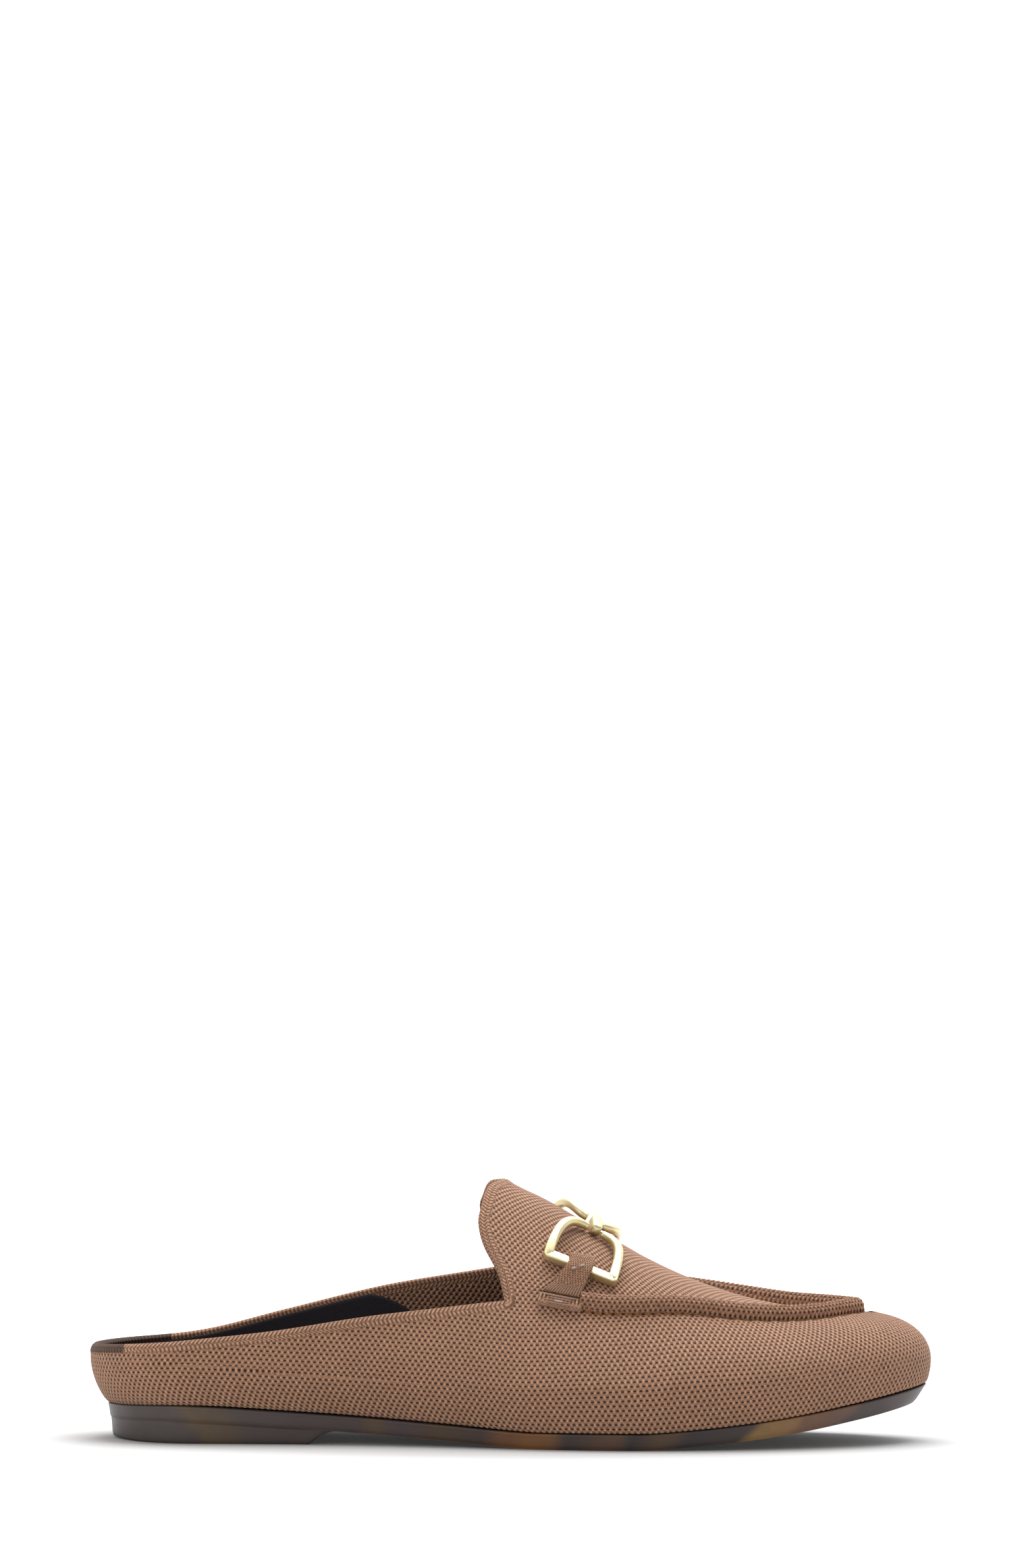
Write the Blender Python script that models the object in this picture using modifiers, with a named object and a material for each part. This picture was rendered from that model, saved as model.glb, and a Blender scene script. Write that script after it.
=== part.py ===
"""Loafer mule, right shoe: a knitted upper on a one-piece sole with a low heel.

The toe points to +X, the outer side faces -Y, and the floor is z = 0.
All sizes are in metres. Run with: blender --background --python part.py
"""
import math

import bmesh
import bpy
import numpy as np

# Driving sizes of the last and the upper
SHOE_LENGTH = 0.257        # back of the heel to the tip of the toe
BALL_WIDTH = 0.087         # across the sole's top edge at the ball
INSTEP_HEIGHT = 0.0736     # top of the tongue above the sole's top edge
COLLAR_HEIGHT = 0.0178     # collar above the sole's top edge at the back of the heel
WALL = 0.0020              # thickness of the knitted wall
LIP_ROUND = 0.0006         # rounding of the wall's cut edges
HEEL_TUCK = 0.0056         # how far the wall leans in below the widest line, at the heel
TOE_TUCK = 0.0013          # the same at the toe
TUCK_POWER = 0.75          # below 1 rounds the wall out just above the sole
THROAT_AT = 0.4925         # where the collar turns up into the tongue, share of the length
SPINE_SHARE = 0.76         # length of the crest line over the length of the shoe
HEEL_SHARE = 0.125         # part of the length that the round heel takes
TOE_SHARE = 0.235          # part of the length that the round toe takes

# Driving sizes of the sole and the insole
SOLE_THICKNESS = 0.0048    # forefoot and shank, at the edge
HEEL_RISE = 0.0064         # shank above the floor at the heel
TOE_SPRING = 0.0129        # sole above the floor at the tip of the toe
HEEL_LENGTH = 0.0625       # back of the sole to the heel's breast
BREAST_LENGTH = 0.0085     # length of the hollow curve in front of the heel
HEEL_BEVEL = 0.0011        # lift of the heel's back edge
BEVEL_LENGTH = 0.016       # length of that lift
SOLE_DRAFT = 0.0015        # how much the sole narrows towards the floor
TOE_UNDERCUT = 0.0028      # how far the tip of the toe stands out over the sole's bottom edge
UNDERCUT_AT = 0.90         # where that begins, share of the length
HEEL_STEP = 0.0007         # set-back of the heel block under the shank band
STEP_FROM_AT = 0.06        # the set-back grows in over this part of the length
STEP_TO_AT = 0.16
EDGE_ROUND = 0.0006        # rounding of the sole's edges
INSOLE_THICKNESS = 0.0035
GAP = 0.0003               # clearance between touching pieces

# Driving sizes of the raised seam, the bit and its keepers
APRON_WIDTH = 0.0048       # raised seam, across
APRON_HEIGHT = 0.0034      # raised seam, proud of the vamp
APRON_POWER = 0.8          # below 1 squares the roll's shoulders
BIT_X = 0.0246             # middle of the bit's link, forward of the shoe's middle
BIT_SHIFT = 0.0080         # link's middle outward of the crest, along the vamp
BIT_HALF = 0.0290          # link's middle to the middle of each ring's bar
BIT_SKEW = 0.0044          # how far each bar lies behind the link
BIT_TILT = 0.06            # slope of the bars across the vamp
BIT_LIFT = 0.0015          # how far the stiff rings stand off the cloth in their middle
RING_WIDTH = 0.0222        # length of a ring's bar, outside
RING_BAND = 0.0029         # width of the rings' metal
RING_THICK = 0.0027        # its thickness
RING_CORNER = 0.0007       # bevel along it
RING_POWER = 2.4           # above 2 squares the rings' corners
LINK_LENGTH = 0.0145
LINK_WIDTH = 0.0034
LINK_THICK = 0.0038
LINK_CORNER = 0.0007
LINK_GAP = 0.0006          # between the link's side and the end of each ring
KEEPER_WIDTH = 0.0078      # knitted strap over a ring's bar
KEEPER_THICK = 0.0015
KEEPER_LEAN = 0.0058       # how far the strap's foot lies behind its top
FLARE_SHARE = 0.55         # how much wider the strap's foot is
PAD_LENGTH = 0.0130        # sewn-down tab under the strap
PAD_WIDTH = 0.0042
PAD_THICK = 0.0018
PAD_CORNER = 0.0006
PAD_DROP = 0.0024          # pad below the line of the raised seam

# The last, from the heel to the toe. "at" is the share of the length. Widths are shares of
# BALL_WIDTH, measured from the axis; rises are shares of HEEL_RISE and TOE_SPRING; bulge and
# rims are shares of COLLAR_HEIGHT and ridge is one of INSTEP_HEIGHT, above the sole's top
# edge. "round" and "full" shape the sections from the widest line to the crest. Apron is the
# place of the raised seam between the crest (0) and the widest line (1), and seam is its
# height as a share of APRON_HEIGHT.
LAST_COLUMNS = ("at", "lateral", "medial", "over_lateral", "over_medial", "axis", "crest",
                "heel_rise", "toe_rise", "bulge", "ridge", "round",
                "full_lateral", "full_medial",
                "rim_lateral", "rim_medial", "apron_lateral", "apron_medial",
                "seam_lateral", "seam_medial")
LAST = (
    (0.00, 0.339, 0.328, 0.023, 0.023, 0.000, 0.000, 0.88, 0.00, 0.82, 0.348, 2.2,
     2.00, 2.00, 1.000, 1.00, 0.76, 0.78, 1.0, 1.0),
    (0.12, 0.343, 0.331, 0.023, 0.023, 0.000, 0.000, 1.00, 0.00, 0.68, 0.473, 2.2,
     2.00, 2.00, 1.080, 1.09, 0.76, 0.78, 1.0, 1.0),
    (0.22, 0.345, 0.328, 0.023, 0.029, 0.000, 0.005, 0.80, 0.00, 0.63, 0.655, 2.2,
     2.00, 2.00, 1.315, 1.52, 0.76, 0.78, 1.0, 1.0),
    (0.32, 0.353, 0.299, 0.023, 0.046, 0.000, 0.020, 0.55, 0.00, 0.63, 0.840, 2.2,
     1.80, 1.90, 1.635, 1.97, 0.76, 0.78, 1.0, 1.0),
    (0.42, 0.412, 0.306, 0.021, 0.048, 0.000, 0.045, 0.27, 0.00, 0.67, 1.052, 2.1,
     1.40, 1.55, 1.930, 2.35, 0.76, 0.79, 1.0, 1.0),
    (0.52, 0.501, 0.385, 0.017, 0.035, 0.000, 0.072, 0.00, 0.00, 0.74, 0.952, 1.95,
     1.18, 1.34, 2.240, 2.70, 0.745, 0.79, 1.00, 1.00),
    (0.62, 0.543, 0.451, 0.016, 0.023, 0.003, 0.090, 0.00, -0.03, 0.75, 0.758, 2.0,
     1.22, 1.55, 2.600, 3.10, 0.720, 0.74, 1.00, 1.00),
    (0.72, 0.522, 0.439, 0.016, 0.018, 0.010, 0.088, 0.00, 0.10, 0.72, 0.568, 2.4,
     1.50, 2.10, 3.000, 3.50, 0.665, 0.63, 1.00, 1.25),
    (0.82, 0.466, 0.393, 0.016, 0.016, 0.020, 0.072, 0.00, 0.33, 0.65, 0.431, 2.8,
     1.75, 2.30, 3.400, 3.90, 0.620, 0.54, 1.00, 1.45),
    (0.91, 0.423, 0.368, 0.015, 0.015, 0.029, 0.052, 0.00, 0.64, 0.53, 0.358, 3.0,
     2.00, 2.20, 3.800, 4.30, 0.510, 0.44, 1.00, 1.35),
    (1.00, 0.402, 0.356, 0.015, 0.015, 0.035, 0.035, 0.00, 1.00, 0.40, 0.296, 3.0,
     2.00, 2.00, 4.200, 4.70, 0.260, 0.26, 1.10, 1.10),
)

# Edge of the tongue, from the collar's corner (1) to the crest (0), as its distance behind
# the corner in shares of the shoe's length
TONGUE_COLUMNS = ("way", "back")
TONGUE = (
    (1.00, 0.000),
    (0.90, 0.007),
    (0.80, 0.024),
    (0.70, 0.030),
    (0.55, 0.026),
    (0.35, 0.019),
    (0.16, 0.0065),
    (0.06, 0.0030),
    (0.00, 0.0025),
)

# Mesh steps of the upper
QUARTER_COLUMNS = 17
VAMP_COLUMNS = 20
TUCK_ROWS = 4
RIM_ROWS = 4
VAMP_ROWS = 7

LATERAL = -1
MEDIAL = 1


def column(table, names, name, at):
    """Read one column of a table at any place, on a smooth curve through its rows."""
    rows = np.array(table, float)
    order = np.argsort(rows[:, 0])
    places = rows[order, 0]
    values = rows[order, names.index(name)]
    slopes = np.gradient(values, places)
    at = np.clip(np.asarray(at, float), places[0], places[-1])
    low = np.clip(np.searchsorted(places, at, side="right") - 1, 0, len(places) - 2)
    step = places[low + 1] - places[low]
    t = (at - places[low]) / step
    return ((1 + 2 * t) * (1 - t) ** 2 * values[low]
            + t * (1 - t) ** 2 * step * slopes[low]
            + t ** 2 * (3 - 2 * t) * values[low + 1]
            - t ** 2 * (1 - t) * step * slopes[low + 1])


def last(name, at):
    return column(LAST, LAST_COLUMNS, name, at)


def side_name(side):
    return "lateral" if side == LATERAL else "medial"


def round_ends(at):
    """Width factor that closes the outline round the heel and the almond toe."""
    heel = np.clip((HEEL_SHARE - at) / HEEL_SHARE, 0, 1)
    toe = np.clip((at - 1 + TOE_SHARE) / TOE_SHARE, 0, 1)
    return np.sqrt((1 - heel ** 2) * (1 - toe ** 2))


def even(turn):
    """Share of the length for an even turn from the heel (0) to the toe (1)."""
    return (1 - np.cos(math.pi * np.asarray(turn, float))) / 2


def turn_of(at):
    return np.arccos(np.clip(1 - 2 * np.asarray(at, float), -1, 1)) / math.pi


def outline(side, at, reach):
    """Plan outline: reach 0 is the sole's top edge, reach 1 the widest line above it."""
    name = side_name(side)
    half = last(name, at) + reach * last("over_" + name, at)
    start = -SHOE_LENGTH / 2 + (1 - reach) * HEEL_TUCK
    end = SHOE_LENGTH / 2 - (1 - reach) * TOE_TUCK
    x = start + (end - start) * at
    y = BALL_WIDTH * (last("axis", at) + side * half * round_ends(at))
    return x, y


def share_of(x):
    return np.asarray(x, float) / SHOE_LENGTH + 0.5


def shank_height(at):
    """Underside of the band that runs from heel to toe, flat on the floor at the ball."""
    return np.maximum(HEEL_RISE * last("heel_rise", at) + TOE_SPRING * last("toe_rise", at), 0)


def feather_height(at):
    """Height of the line where the upper meets the sole."""
    return shank_height(at) + SOLE_THICKNESS


def ridge_height(at):
    return feather_height(at) + INSTEP_HEIGHT * last("ridge", at)


def widest_height(at):
    return feather_height(at) + COLLAR_HEIGHT * last("bulge", at)


def surface(side, at, climb):
    """Outer face of the upper: climb 0 at the sole, 1 at the widest line, 2 at the crest.

    Below the widest line the wall leans in along a rounded quarter sine. Above, the outlines
    shrink to the crest line, and the height follows (1 - way^round)^(1/full).
    """
    at, climb = np.broadcast_arrays(np.asarray(at, float), np.asarray(climb, float))
    tuck = np.clip(climb, 0, 1)
    wall_x, wall_y = outline(side, at, np.sin(tuck * math.pi / 2) ** TUCK_POWER)
    wall_z = feather_height(at) + GAP + (widest_height(at) - feather_height(at) - GAP) * tuck
    way = np.clip(2 - climb, 0, 1)
    x = wall_x * (SPINE_SHARE + (1 - SPINE_SHARE) * way)
    middle = BALL_WIDTH * last("crest", at)
    y = middle + (wall_y - middle) * way
    full = last("full_" + side_name(side), at)
    swell = (1 - way ** last("round", at)) ** (1 / full)
    z = wall_z + (ridge_height(share_of(x)) - wall_z) * swell
    return np.stack([np.where(climb > 1, x, wall_x), np.where(climb > 1, y, wall_y),
                     np.where(climb > 1, z, wall_z)], axis=-1)


def rim_way(side, at):
    """Place of the collar between the crest (0) and the widest line (1)."""
    low = widest_height(at)
    rim = feather_height(at) + COLLAR_HEIGHT * last("rim_" + side_name(side), at)
    swell = (rim - low) / (ridge_height(at) - low)
    full = last("full_" + side_name(side), at)
    return (1 - swell ** full) ** (1 / last("round", at))


def tongue_at(side, way):
    """Share of the length at the tongue's edge, for a way between corner and crest."""
    corner_way = rim_way(side, THROAT_AT)
    back = SHOE_LENGTH * column(TONGUE, TONGUE_COLUMNS, "back", way / corner_way)
    corner_x = surface(side, THROAT_AT, 2 - corner_way)[0]
    scale = SPINE_SHARE + (1 - SPINE_SHARE) * way
    return share_of((corner_x - back) / scale)


def grid_faces(columns, rows, first, flip):
    faces = []
    for i in range(columns):
        for j in range(rows):
            a = first + i * (rows + 1) + j
            b = a + rows + 1
            quad = (a, b, b + 1, a + 1)
            faces.append(quad[::-1] if flip else quad)
    return faces


def upper_grids(side):
    """The quarter, up to the collar, and the vamp, up to the crest, as grids of points."""
    corner_turn = float(turn_of(THROAT_AT))
    rim_steps = (np.arange(1, RIM_ROWS + 1) / RIM_ROWS) ** 2
    low_rows = np.linspace(0, 1, TUCK_ROWS + 1)
    quarter_at = even(np.linspace(0, corner_turn, QUARTER_COLUMNS + 1))[:, None]
    rise = 1 - rim_way(side, quarter_at)
    quarter_climb = np.concatenate([np.tile(low_rows, (QUARTER_COLUMNS + 1, 1)),
                                    1 + rise * rim_steps], axis=1)
    corner_way = float(rim_way(side, THROAT_AT))
    high_rows = 2 - corner_way + corner_way * np.arange(1, VAMP_ROWS + 1) / VAMP_ROWS
    climbs = np.concatenate([quarter_climb[-1], high_rows])
    start = np.full(len(climbs), corner_turn)
    start[-VAMP_ROWS:] = turn_of(tongue_at(side, 2 - high_rows))
    steps = np.linspace(0, 1, VAMP_COLUMNS + 1)[:, None]
    vamp_at = even(start + (1 - start) * steps)
    return surface(side, quarter_at, quarter_climb), surface(side, vamp_at, climbs)


def mesh_object(name, points, faces, colour, roughness, metallic=0.0):
    """One named object with its own material, in the shoe's collection."""
    mesh = bpy.data.meshes.new(name)
    mesh.from_pydata(points, [], faces)
    bm = bmesh.new()
    bm.from_mesh(mesh)
    bmesh.ops.remove_doubles(bm, verts=bm.verts, dist=0.00001)
    bm.to_mesh(mesh)
    bm.free()
    mesh.shade_smooth()
    thing = bpy.data.objects.new(name, mesh)
    material = bpy.data.materials.new(name)
    material.use_nodes = True
    shader = material.node_tree.nodes["Principled BSDF"]
    shader.inputs["Base Color"].default_value = (*colour, 1)
    shader.inputs["Roughness"].default_value = roughness
    shader.inputs["Metallic"].default_value = metallic
    mesh.materials.append(material)
    parts.objects.link(thing)
    thing.parent = frame
    return thing


def make_upper():
    """One knitted shell: the outer face, given its wall inwards and a rounded lip."""
    points = []
    faces = []
    for side in (LATERAL, MEDIAL):
        for grid in upper_grids(side):
            columns, rows = grid.shape[0] - 1, grid.shape[1] - 1
            faces += grid_faces(columns, rows, len(points), side == MEDIAL)
            points += grid.reshape(-1, 3).tolist()
    upper = mesh_object("upper", points, faces, (0.42, 0.25, 0.16), 0.9)
    shell = upper.modifiers.new("wall", "SOLIDIFY")
    shell.thickness = WALL
    shell.offset = -1
    shell.use_even_offset = True
    lip = upper.modifiers.new("lip", "BEVEL")
    lip.width = LIP_ROUND
    lip.segments = 2
    lip.limit_method = "ANGLE"
    lip.angle_limit = math.radians(60)
    return upper


def sole_underside(x):
    """Underside in the middle of a section: heel, hollow breast, shank, flat ball, toe."""
    x = np.asarray(x, float)
    back = -SHOE_LENGTH / 2 + HEEL_TUCK
    breast = back + HEEL_LENGTH
    curve = np.clip((x - breast) / BREAST_LENGTH, 0, 1)
    hollow = np.sin(curve * math.pi / 2)
    bevel = HEEL_BEVEL * np.clip((back + BEVEL_LENGTH - x) / BEVEL_LENGTH, 0, 1) ** 2
    return shank_height(share_of(x)) * hollow + np.where(x < breast, bevel, 0)


def inset_outline(side, at, inset, way):
    """A point inside the sole's outline: drawn in by inset, or by a share of the way."""
    edge_x, edge_y = outline(side, at, 0)
    spine = SHOE_LENGTH / 2 * SPINE_SHARE
    middle_x = np.clip(edge_x, -spine, spine)
    middle_y = BALL_WIDTH * last("axis", at)
    reach = np.hypot(edge_x - middle_x, edge_y - middle_y)
    keep = way * (1 - inset / reach)
    return middle_x + (edge_x - middle_x) * keep, middle_y + (edge_y - middle_y) * keep


def stacked_solid(name, ats, levels, colour, roughness):
    """A closed solid from rings; a level is a function of side and place along the shoe."""
    points = []
    for level in levels:
        there = level(LATERAL, ats)
        back = level(MEDIAL, ats[-2:0:-1])
        points += np.concatenate([there, back]).tolist()
    around = 2 * len(ats) - 2
    faces = []
    for ring in range(len(levels) - 1):
        for i in range(around):
            a = ring * around + i
            b = ring * around + (i + 1) % around
            faces.append((a, a + around, b + around, b))
    return mesh_object(name, points, faces, colour, roughness)


def sole_level(way, inset, drop, under):
    """One ring of the sole: drop is a share of the band's height, or of what is under it."""
    def level(side, at):
        at = np.asarray(at, float)
        edge_x = outline(side, at, 0)[0]
        block = np.clip((HEEL_LENGTH + BREAST_LENGTH - edge_x - SHOE_LENGTH / 2)
                        / BREAST_LENGTH, 0, 1)
        fade = np.clip((at - STEP_FROM_AT) / (STEP_TO_AT - STEP_FROM_AT), 0, 1)
        tip = np.clip((at - UNDERCUT_AT) / (1 - UNDERCUT_AT), 0, 1) ** 2
        cut = under * HEEL_STEP * block * fade + max(drop, under) * TOE_UNDERCUT * tip
        x, y = inset_outline(side, at, inset + cut, way)
        top = feather_height(share_of(x))
        bottom = sole_underside(x)
        band = np.minimum(SOLE_THICKNESS / (top - bottom), 1)
        share = band + (1 - band) * drop if under else band * drop
        z = top + (bottom - top) * share
        return np.stack([x, y, z], axis=-1)
    return level


def make_outsole():
    """Band, shank and heel block in one moulded piece."""
    back = -SHOE_LENGTH / 2 + HEEL_TUCK
    length = SHOE_LENGTH - HEEL_TUCK - TOE_TUCK
    breast = HEEL_LENGTH / length
    hollow = BREAST_LENGTH / length * np.array((0, 0.02, 0.12, 0.32, 0.62, 1))
    stations = even(np.linspace(0, 1, 40))
    clear = (stations < breast - 0.006) | (stations > breast + BREAST_LENGTH / length + 0.006)
    stations = np.unique(np.concatenate([stations[clear], breast + hollow]))
    levels = [
        sole_level(0.0, 0, 0, 0),
        sole_level(0.6, 0, 0, 0),
        sole_level(1.0, EDGE_ROUND, 0, 0),
        sole_level(1.0, 0, 0.12, 0),
        sole_level(1.0, 0.7 * SOLE_DRAFT, 0.85, 0),
        sole_level(1.0, 0.9 * SOLE_DRAFT, 0.98, 0),
        sole_level(1.0, SOLE_DRAFT, 0.90, 1),
        sole_level(1.0, SOLE_DRAFT + EDGE_ROUND, 1, 1),
        sole_level(0.6, 0, 1, 1),
        sole_level(0.0, 0, 1, 1),
    ]
    return stacked_solid("outsole", stations, levels, (0.045, 0.032, 0.028), 0.45)


def insole_level(way, inset, lift):
    def level(side, at):
        x, y = inset_outline(side, np.asarray(at, float), inset, way)
        return np.stack([x, y, feather_height(share_of(x)) + GAP + lift], axis=-1)
    return level


def make_insole():
    """Footbed inside the wall, resting on the sole."""
    inset = 1.2 * WALL + GAP
    levels = [
        insole_level(0.0, 0, INSOLE_THICKNESS),
        insole_level(0.6, 0, INSOLE_THICKNESS),
        insole_level(1.0, inset + EDGE_ROUND, INSOLE_THICKNESS),
        insole_level(1.0, inset, INSOLE_THICKNESS - EDGE_ROUND),
        insole_level(1.0, inset, 0),
        insole_level(0.6, 0, 0),
        insole_level(0.0, 0, 0),
    ]
    return stacked_solid("insole", even(np.linspace(0, 1, 28)), levels,
                         (0.03, 0.03, 0.05), 0.85)


def vamp(x, way):
    """Point of the vamp at a place along the shoe: way is below 0 on the outer side."""
    x, way = np.broadcast_arrays(np.asarray(x, float), np.asarray(way, float))
    at = share_of(x / (SPINE_SHARE + (1 - SPINE_SHARE) * np.abs(way)))
    climb = 2 - np.abs(way)
    return np.where((way < 0)[..., None], surface(LATERAL, at, climb), surface(MEDIAL, at, climb))


def unit(vectors):
    return vectors / np.linalg.norm(vectors, axis=-1, keepdims=True)


def vamp_frame(x, way):
    """Point, forward direction and outward direction of the vamp."""
    step = 0.002
    forward = unit(vamp(x + step / 4, way) - vamp(x - step / 4, way))
    across = vamp(x, way + step) - vamp(x, way - step)
    return vamp(x, way), forward, unit(np.cross(forward, across))


def girth_run(x):
    """Ways over the vamp at one place, and their distances from the crest along it."""
    ways = np.linspace(-0.98, 0.98, 99)
    section = vamp(np.full(len(ways), x), ways)
    steps = np.linalg.norm(np.diff(section, axis=0), axis=1)
    run = np.concatenate([[0], np.cumsum(steps)])
    return ways, run - np.interp(0, ways, run)


def bit_frames(x, girth):
    """Frames of the vamp at distances from the crest, towards the inner side."""
    ways = []
    for place, distance in np.broadcast(x, girth):
        known, run = girth_run(place)
        ways.append(np.interp(distance, run, known))
    return vamp_frame(np.asarray(x, float), np.array(ways))


def seam_place(side, x):
    """Share of the length and way of the raised seam where it passes a place."""
    at = share_of(x)
    for _ in range(12):
        way = last("apron_" + side_name(side), at)
        at = share_of(x / (SPINE_SHARE + (1 - SPINE_SHARE) * way))
    return at, way


def pad_way(side, x):
    """Signed way of the pad's middle line, which lies below the raised seam's own."""
    ways = []
    for place in np.atleast_1d(x):
        known, run = girth_run(place)
        seam = np.interp(side * seam_place(side, place)[1], known, run)
        ways.append(np.interp(seam + side * PAD_DROP, run, known))
    return np.array(ways)


def lofted_solid(name, centres, across, up, section, colour, roughness, metallic=0.0):
    """A closed bar: a section of (across, up) points carried along a path of frames."""
    section = np.broadcast_to(section, (len(centres), *np.shape(section)[-2:]))
    rings = (centres[:, None] + across[:, None] * section[:, :, :1]
             + up[:, None] * section[:, :, 1:])
    count = section.shape[1]
    faces = []
    for i in range(len(centres) - 1):
        for j in range(count):
            a = i * count + j
            b = i * count + (j + 1) % count
            faces.append((a, a + count, b + count, b))
    faces.append(tuple(range(count)))
    last_ring = (len(centres) - 1) * count
    faces.append(tuple(range(last_ring + count - 1, last_ring - 1, -1)))
    return mesh_object(name, rings.reshape(-1, 3).tolist(), faces, colour, roughness, metallic)


def path_frames(path, up):
    """Directions across a path, lengthened at its corners so that they are mitred."""
    steps = unit(np.diff(path, axis=0))
    before = np.concatenate([steps[:1], steps])
    after = np.concatenate([steps, steps[-1:]])
    along = unit(before + after)
    across = unit(np.cross(along, up))
    return across / np.sum(along * after, axis=1)[:, None]


def bar_section(width, thick, corner):
    """A flat bar with bevelled edges, standing on the path."""
    half = width / 2
    return np.array([(-half + corner, 0), (half - corner, 0), (half, corner),
                     (half, thick - corner), (half - corner, thick),
                     (-half + corner, thick), (-half, thick - corner), (-half, corner)])


def pad_middle():
    return BIT_X - BIT_SKEW - KEEPER_LEAN


def make_apron():
    """Raised seam round the vamp: a half-round roll laid on the upper's own surface."""
    start_x = pad_middle() + PAD_LENGTH / 2 + GAP
    path = []
    ways = []
    heights = []
    for side in (LATERAL, MEDIAL):
        turns = np.linspace(float(turn_of(seam_place(side, start_x)[0])), 1, 26)
        at = even(turns if side == LATERAL else turns[-2::-1])
        way = last("apron_" + side_name(side), at)
        path.append(surface(side, at, 2 - way))
        ways.append(side * way)
        heights.append(last("seam_" + side_name(side), at))
    path = np.concatenate(path)
    up = vamp_frame(path[:, 0], np.concatenate(ways))[2]
    arc = np.linspace(0, math.pi, 7)
    half = APRON_WIDTH / 2
    height = np.abs(np.sin(arc)) ** APRON_POWER * APRON_HEIGHT
    roll = np.stack([half * np.cos(arc), height], axis=1)
    section = np.array([roll] * len(path))
    section[:, :, 1] *= np.concatenate(heights)[:, None]
    section[:, :, 1] += GAP
    return lofted_solid("apron_seam", path, path_frames(path, up), up, section,
                        (0.40, 0.24, 0.16), 0.9)


def make_ring(side):
    """One D-shaped ring: a straight bar under the keeper, a bow that ends at the link."""
    half = (RING_WIDTH - RING_BAND) / 2
    end = LINK_WIDTH / 2 + LINK_GAP
    last_angle = math.acos((end / half) ** (RING_POWER / 2))
    angles = np.linspace(last_angle, 0, 12)
    arm_u = half * np.cos(angles) ** (2 / RING_POWER)
    arm_v = np.sin(angles) ** (2 / RING_POWER)
    bar_u = np.linspace(-half, half, 5)[1:-1]
    u = np.concatenate([-arm_u, bar_u, arm_u[::-1]])
    v = np.concatenate([arm_v, 0 * bar_u, arm_v[::-1]])
    near = LINK_LENGTH / 2 - RING_BAND / 2
    x = BIT_X - BIT_SKEW * (1 - v) + u
    girth = side * (near + (BIT_HALF - near) * (1 - v) + BIT_TILT * u) - BIT_SHIFT
    points, _, up = bit_frames(x, girth)
    points = points + up * (GAP + BIT_LIFT * np.sin(math.pi * v))[:, None]
    section = bar_section(RING_BAND, RING_THICK, RING_CORNER)
    name = "ring_outer" if side == LATERAL else "ring_inner"
    return lofted_solid(name, points, path_frames(points, up), up, section,
                        (0.72, 0.66, 0.45), 0.3, 1.0)


def make_link():
    """Clasp over the crest that holds both rings."""
    girth = np.linspace(-LINK_LENGTH / 2, LINK_LENGTH / 2, 5) - BIT_SHIFT
    points, forward, up = bit_frames(np.full(len(girth), BIT_X), girth)
    section = bar_section(LINK_WIDTH, LINK_THICK, LINK_CORNER) + (0, GAP)
    return lofted_solid("ring_link", points, path_frames(points, up), up, section,
                        (0.72, 0.66, 0.45), 0.3, 1.0)


def make_keeper(side):
    """Knitted strap from the pad up and over the ring's bar.

    Run is the distance from the bar's middle towards the crest, and lift the height above
    the vamp, both along the strap's middle line.
    """
    middle = GAP + KEEPER_THICK / 2
    over = 2 * GAP + RING_THICK + KEEPER_THICK / 2
    clear = RING_BAND / 2 + 2 * GAP + KEEPER_THICK / 2
    bar_x = BIT_X - BIT_SKEW
    known, distances = girth_run(pad_middle())
    pad_girth = abs(np.interp(pad_way(side, pad_middle())[0], known, distances) + BIT_SHIFT)
    drop = pad_girth - BIT_HALF - PAD_WIDTH / 2 - 2 * GAP
    run = np.array((-drop, -2.6 * clear, -1.6 * clear, -0.9 * clear, 0.0,
                    0.7 * clear, 1.05 * clear, 1.1 * clear))
    lift = np.array((middle, 1.3 * middle, 0.72 * over, 0.99 * over, 1.04 * over,
                     over, 0.74 * over, middle))
    down = np.clip(-run / drop, 0, 1)
    lean = KEEPER_LEAN * down ** 1.2
    girth = side * (BIT_HALF - run) - BIT_SHIFT
    points, forward, up = bit_frames(bar_x - lean, girth)
    path = points + up * lift[:, None]
    ends = pad_middle() + np.array((-PAD_LENGTH / 2, PAD_LENGTH / 2))
    edge = np.diff(vamp(ends, pad_way(side, ends)), axis=0)
    forward = unit(forward * (1 - down[:, None]) + unit(edge) * down[:, None])
    steps = unit(np.gradient(path, axis=0))
    outward = unit(np.cross(forward, steps)) * -side
    forward = forward * -side
    widths = KEEPER_WIDTH * (1 + FLARE_SHARE * down ** 2)
    flat = bar_section(1.0, 1.0, 0.18) - (0, 0.5)
    section = np.array([flat * (width, KEEPER_THICK) for width in widths])
    name = "keeper_outer" if side == LATERAL else "keeper_inner"
    return lofted_solid(name, path, forward, outward, section, (0.38, 0.23, 0.15), 0.9)


def make_pad(side):
    """Tab under the strap, sewn down at the end of the raised seam."""
    x = pad_middle() + np.linspace(-PAD_LENGTH / 2, PAD_LENGTH / 2, 6)
    points, _, up = vamp_frame(x, pad_way(side, x))
    section = bar_section(PAD_WIDTH, PAD_THICK, PAD_CORNER) + (0, GAP)
    name = "keeper_pad_outer" if side == LATERAL else "keeper_pad_inner"
    return lofted_solid(name, points, path_frames(points, up), up, section,
                        (0.38, 0.23, 0.15), 0.9)


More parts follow.
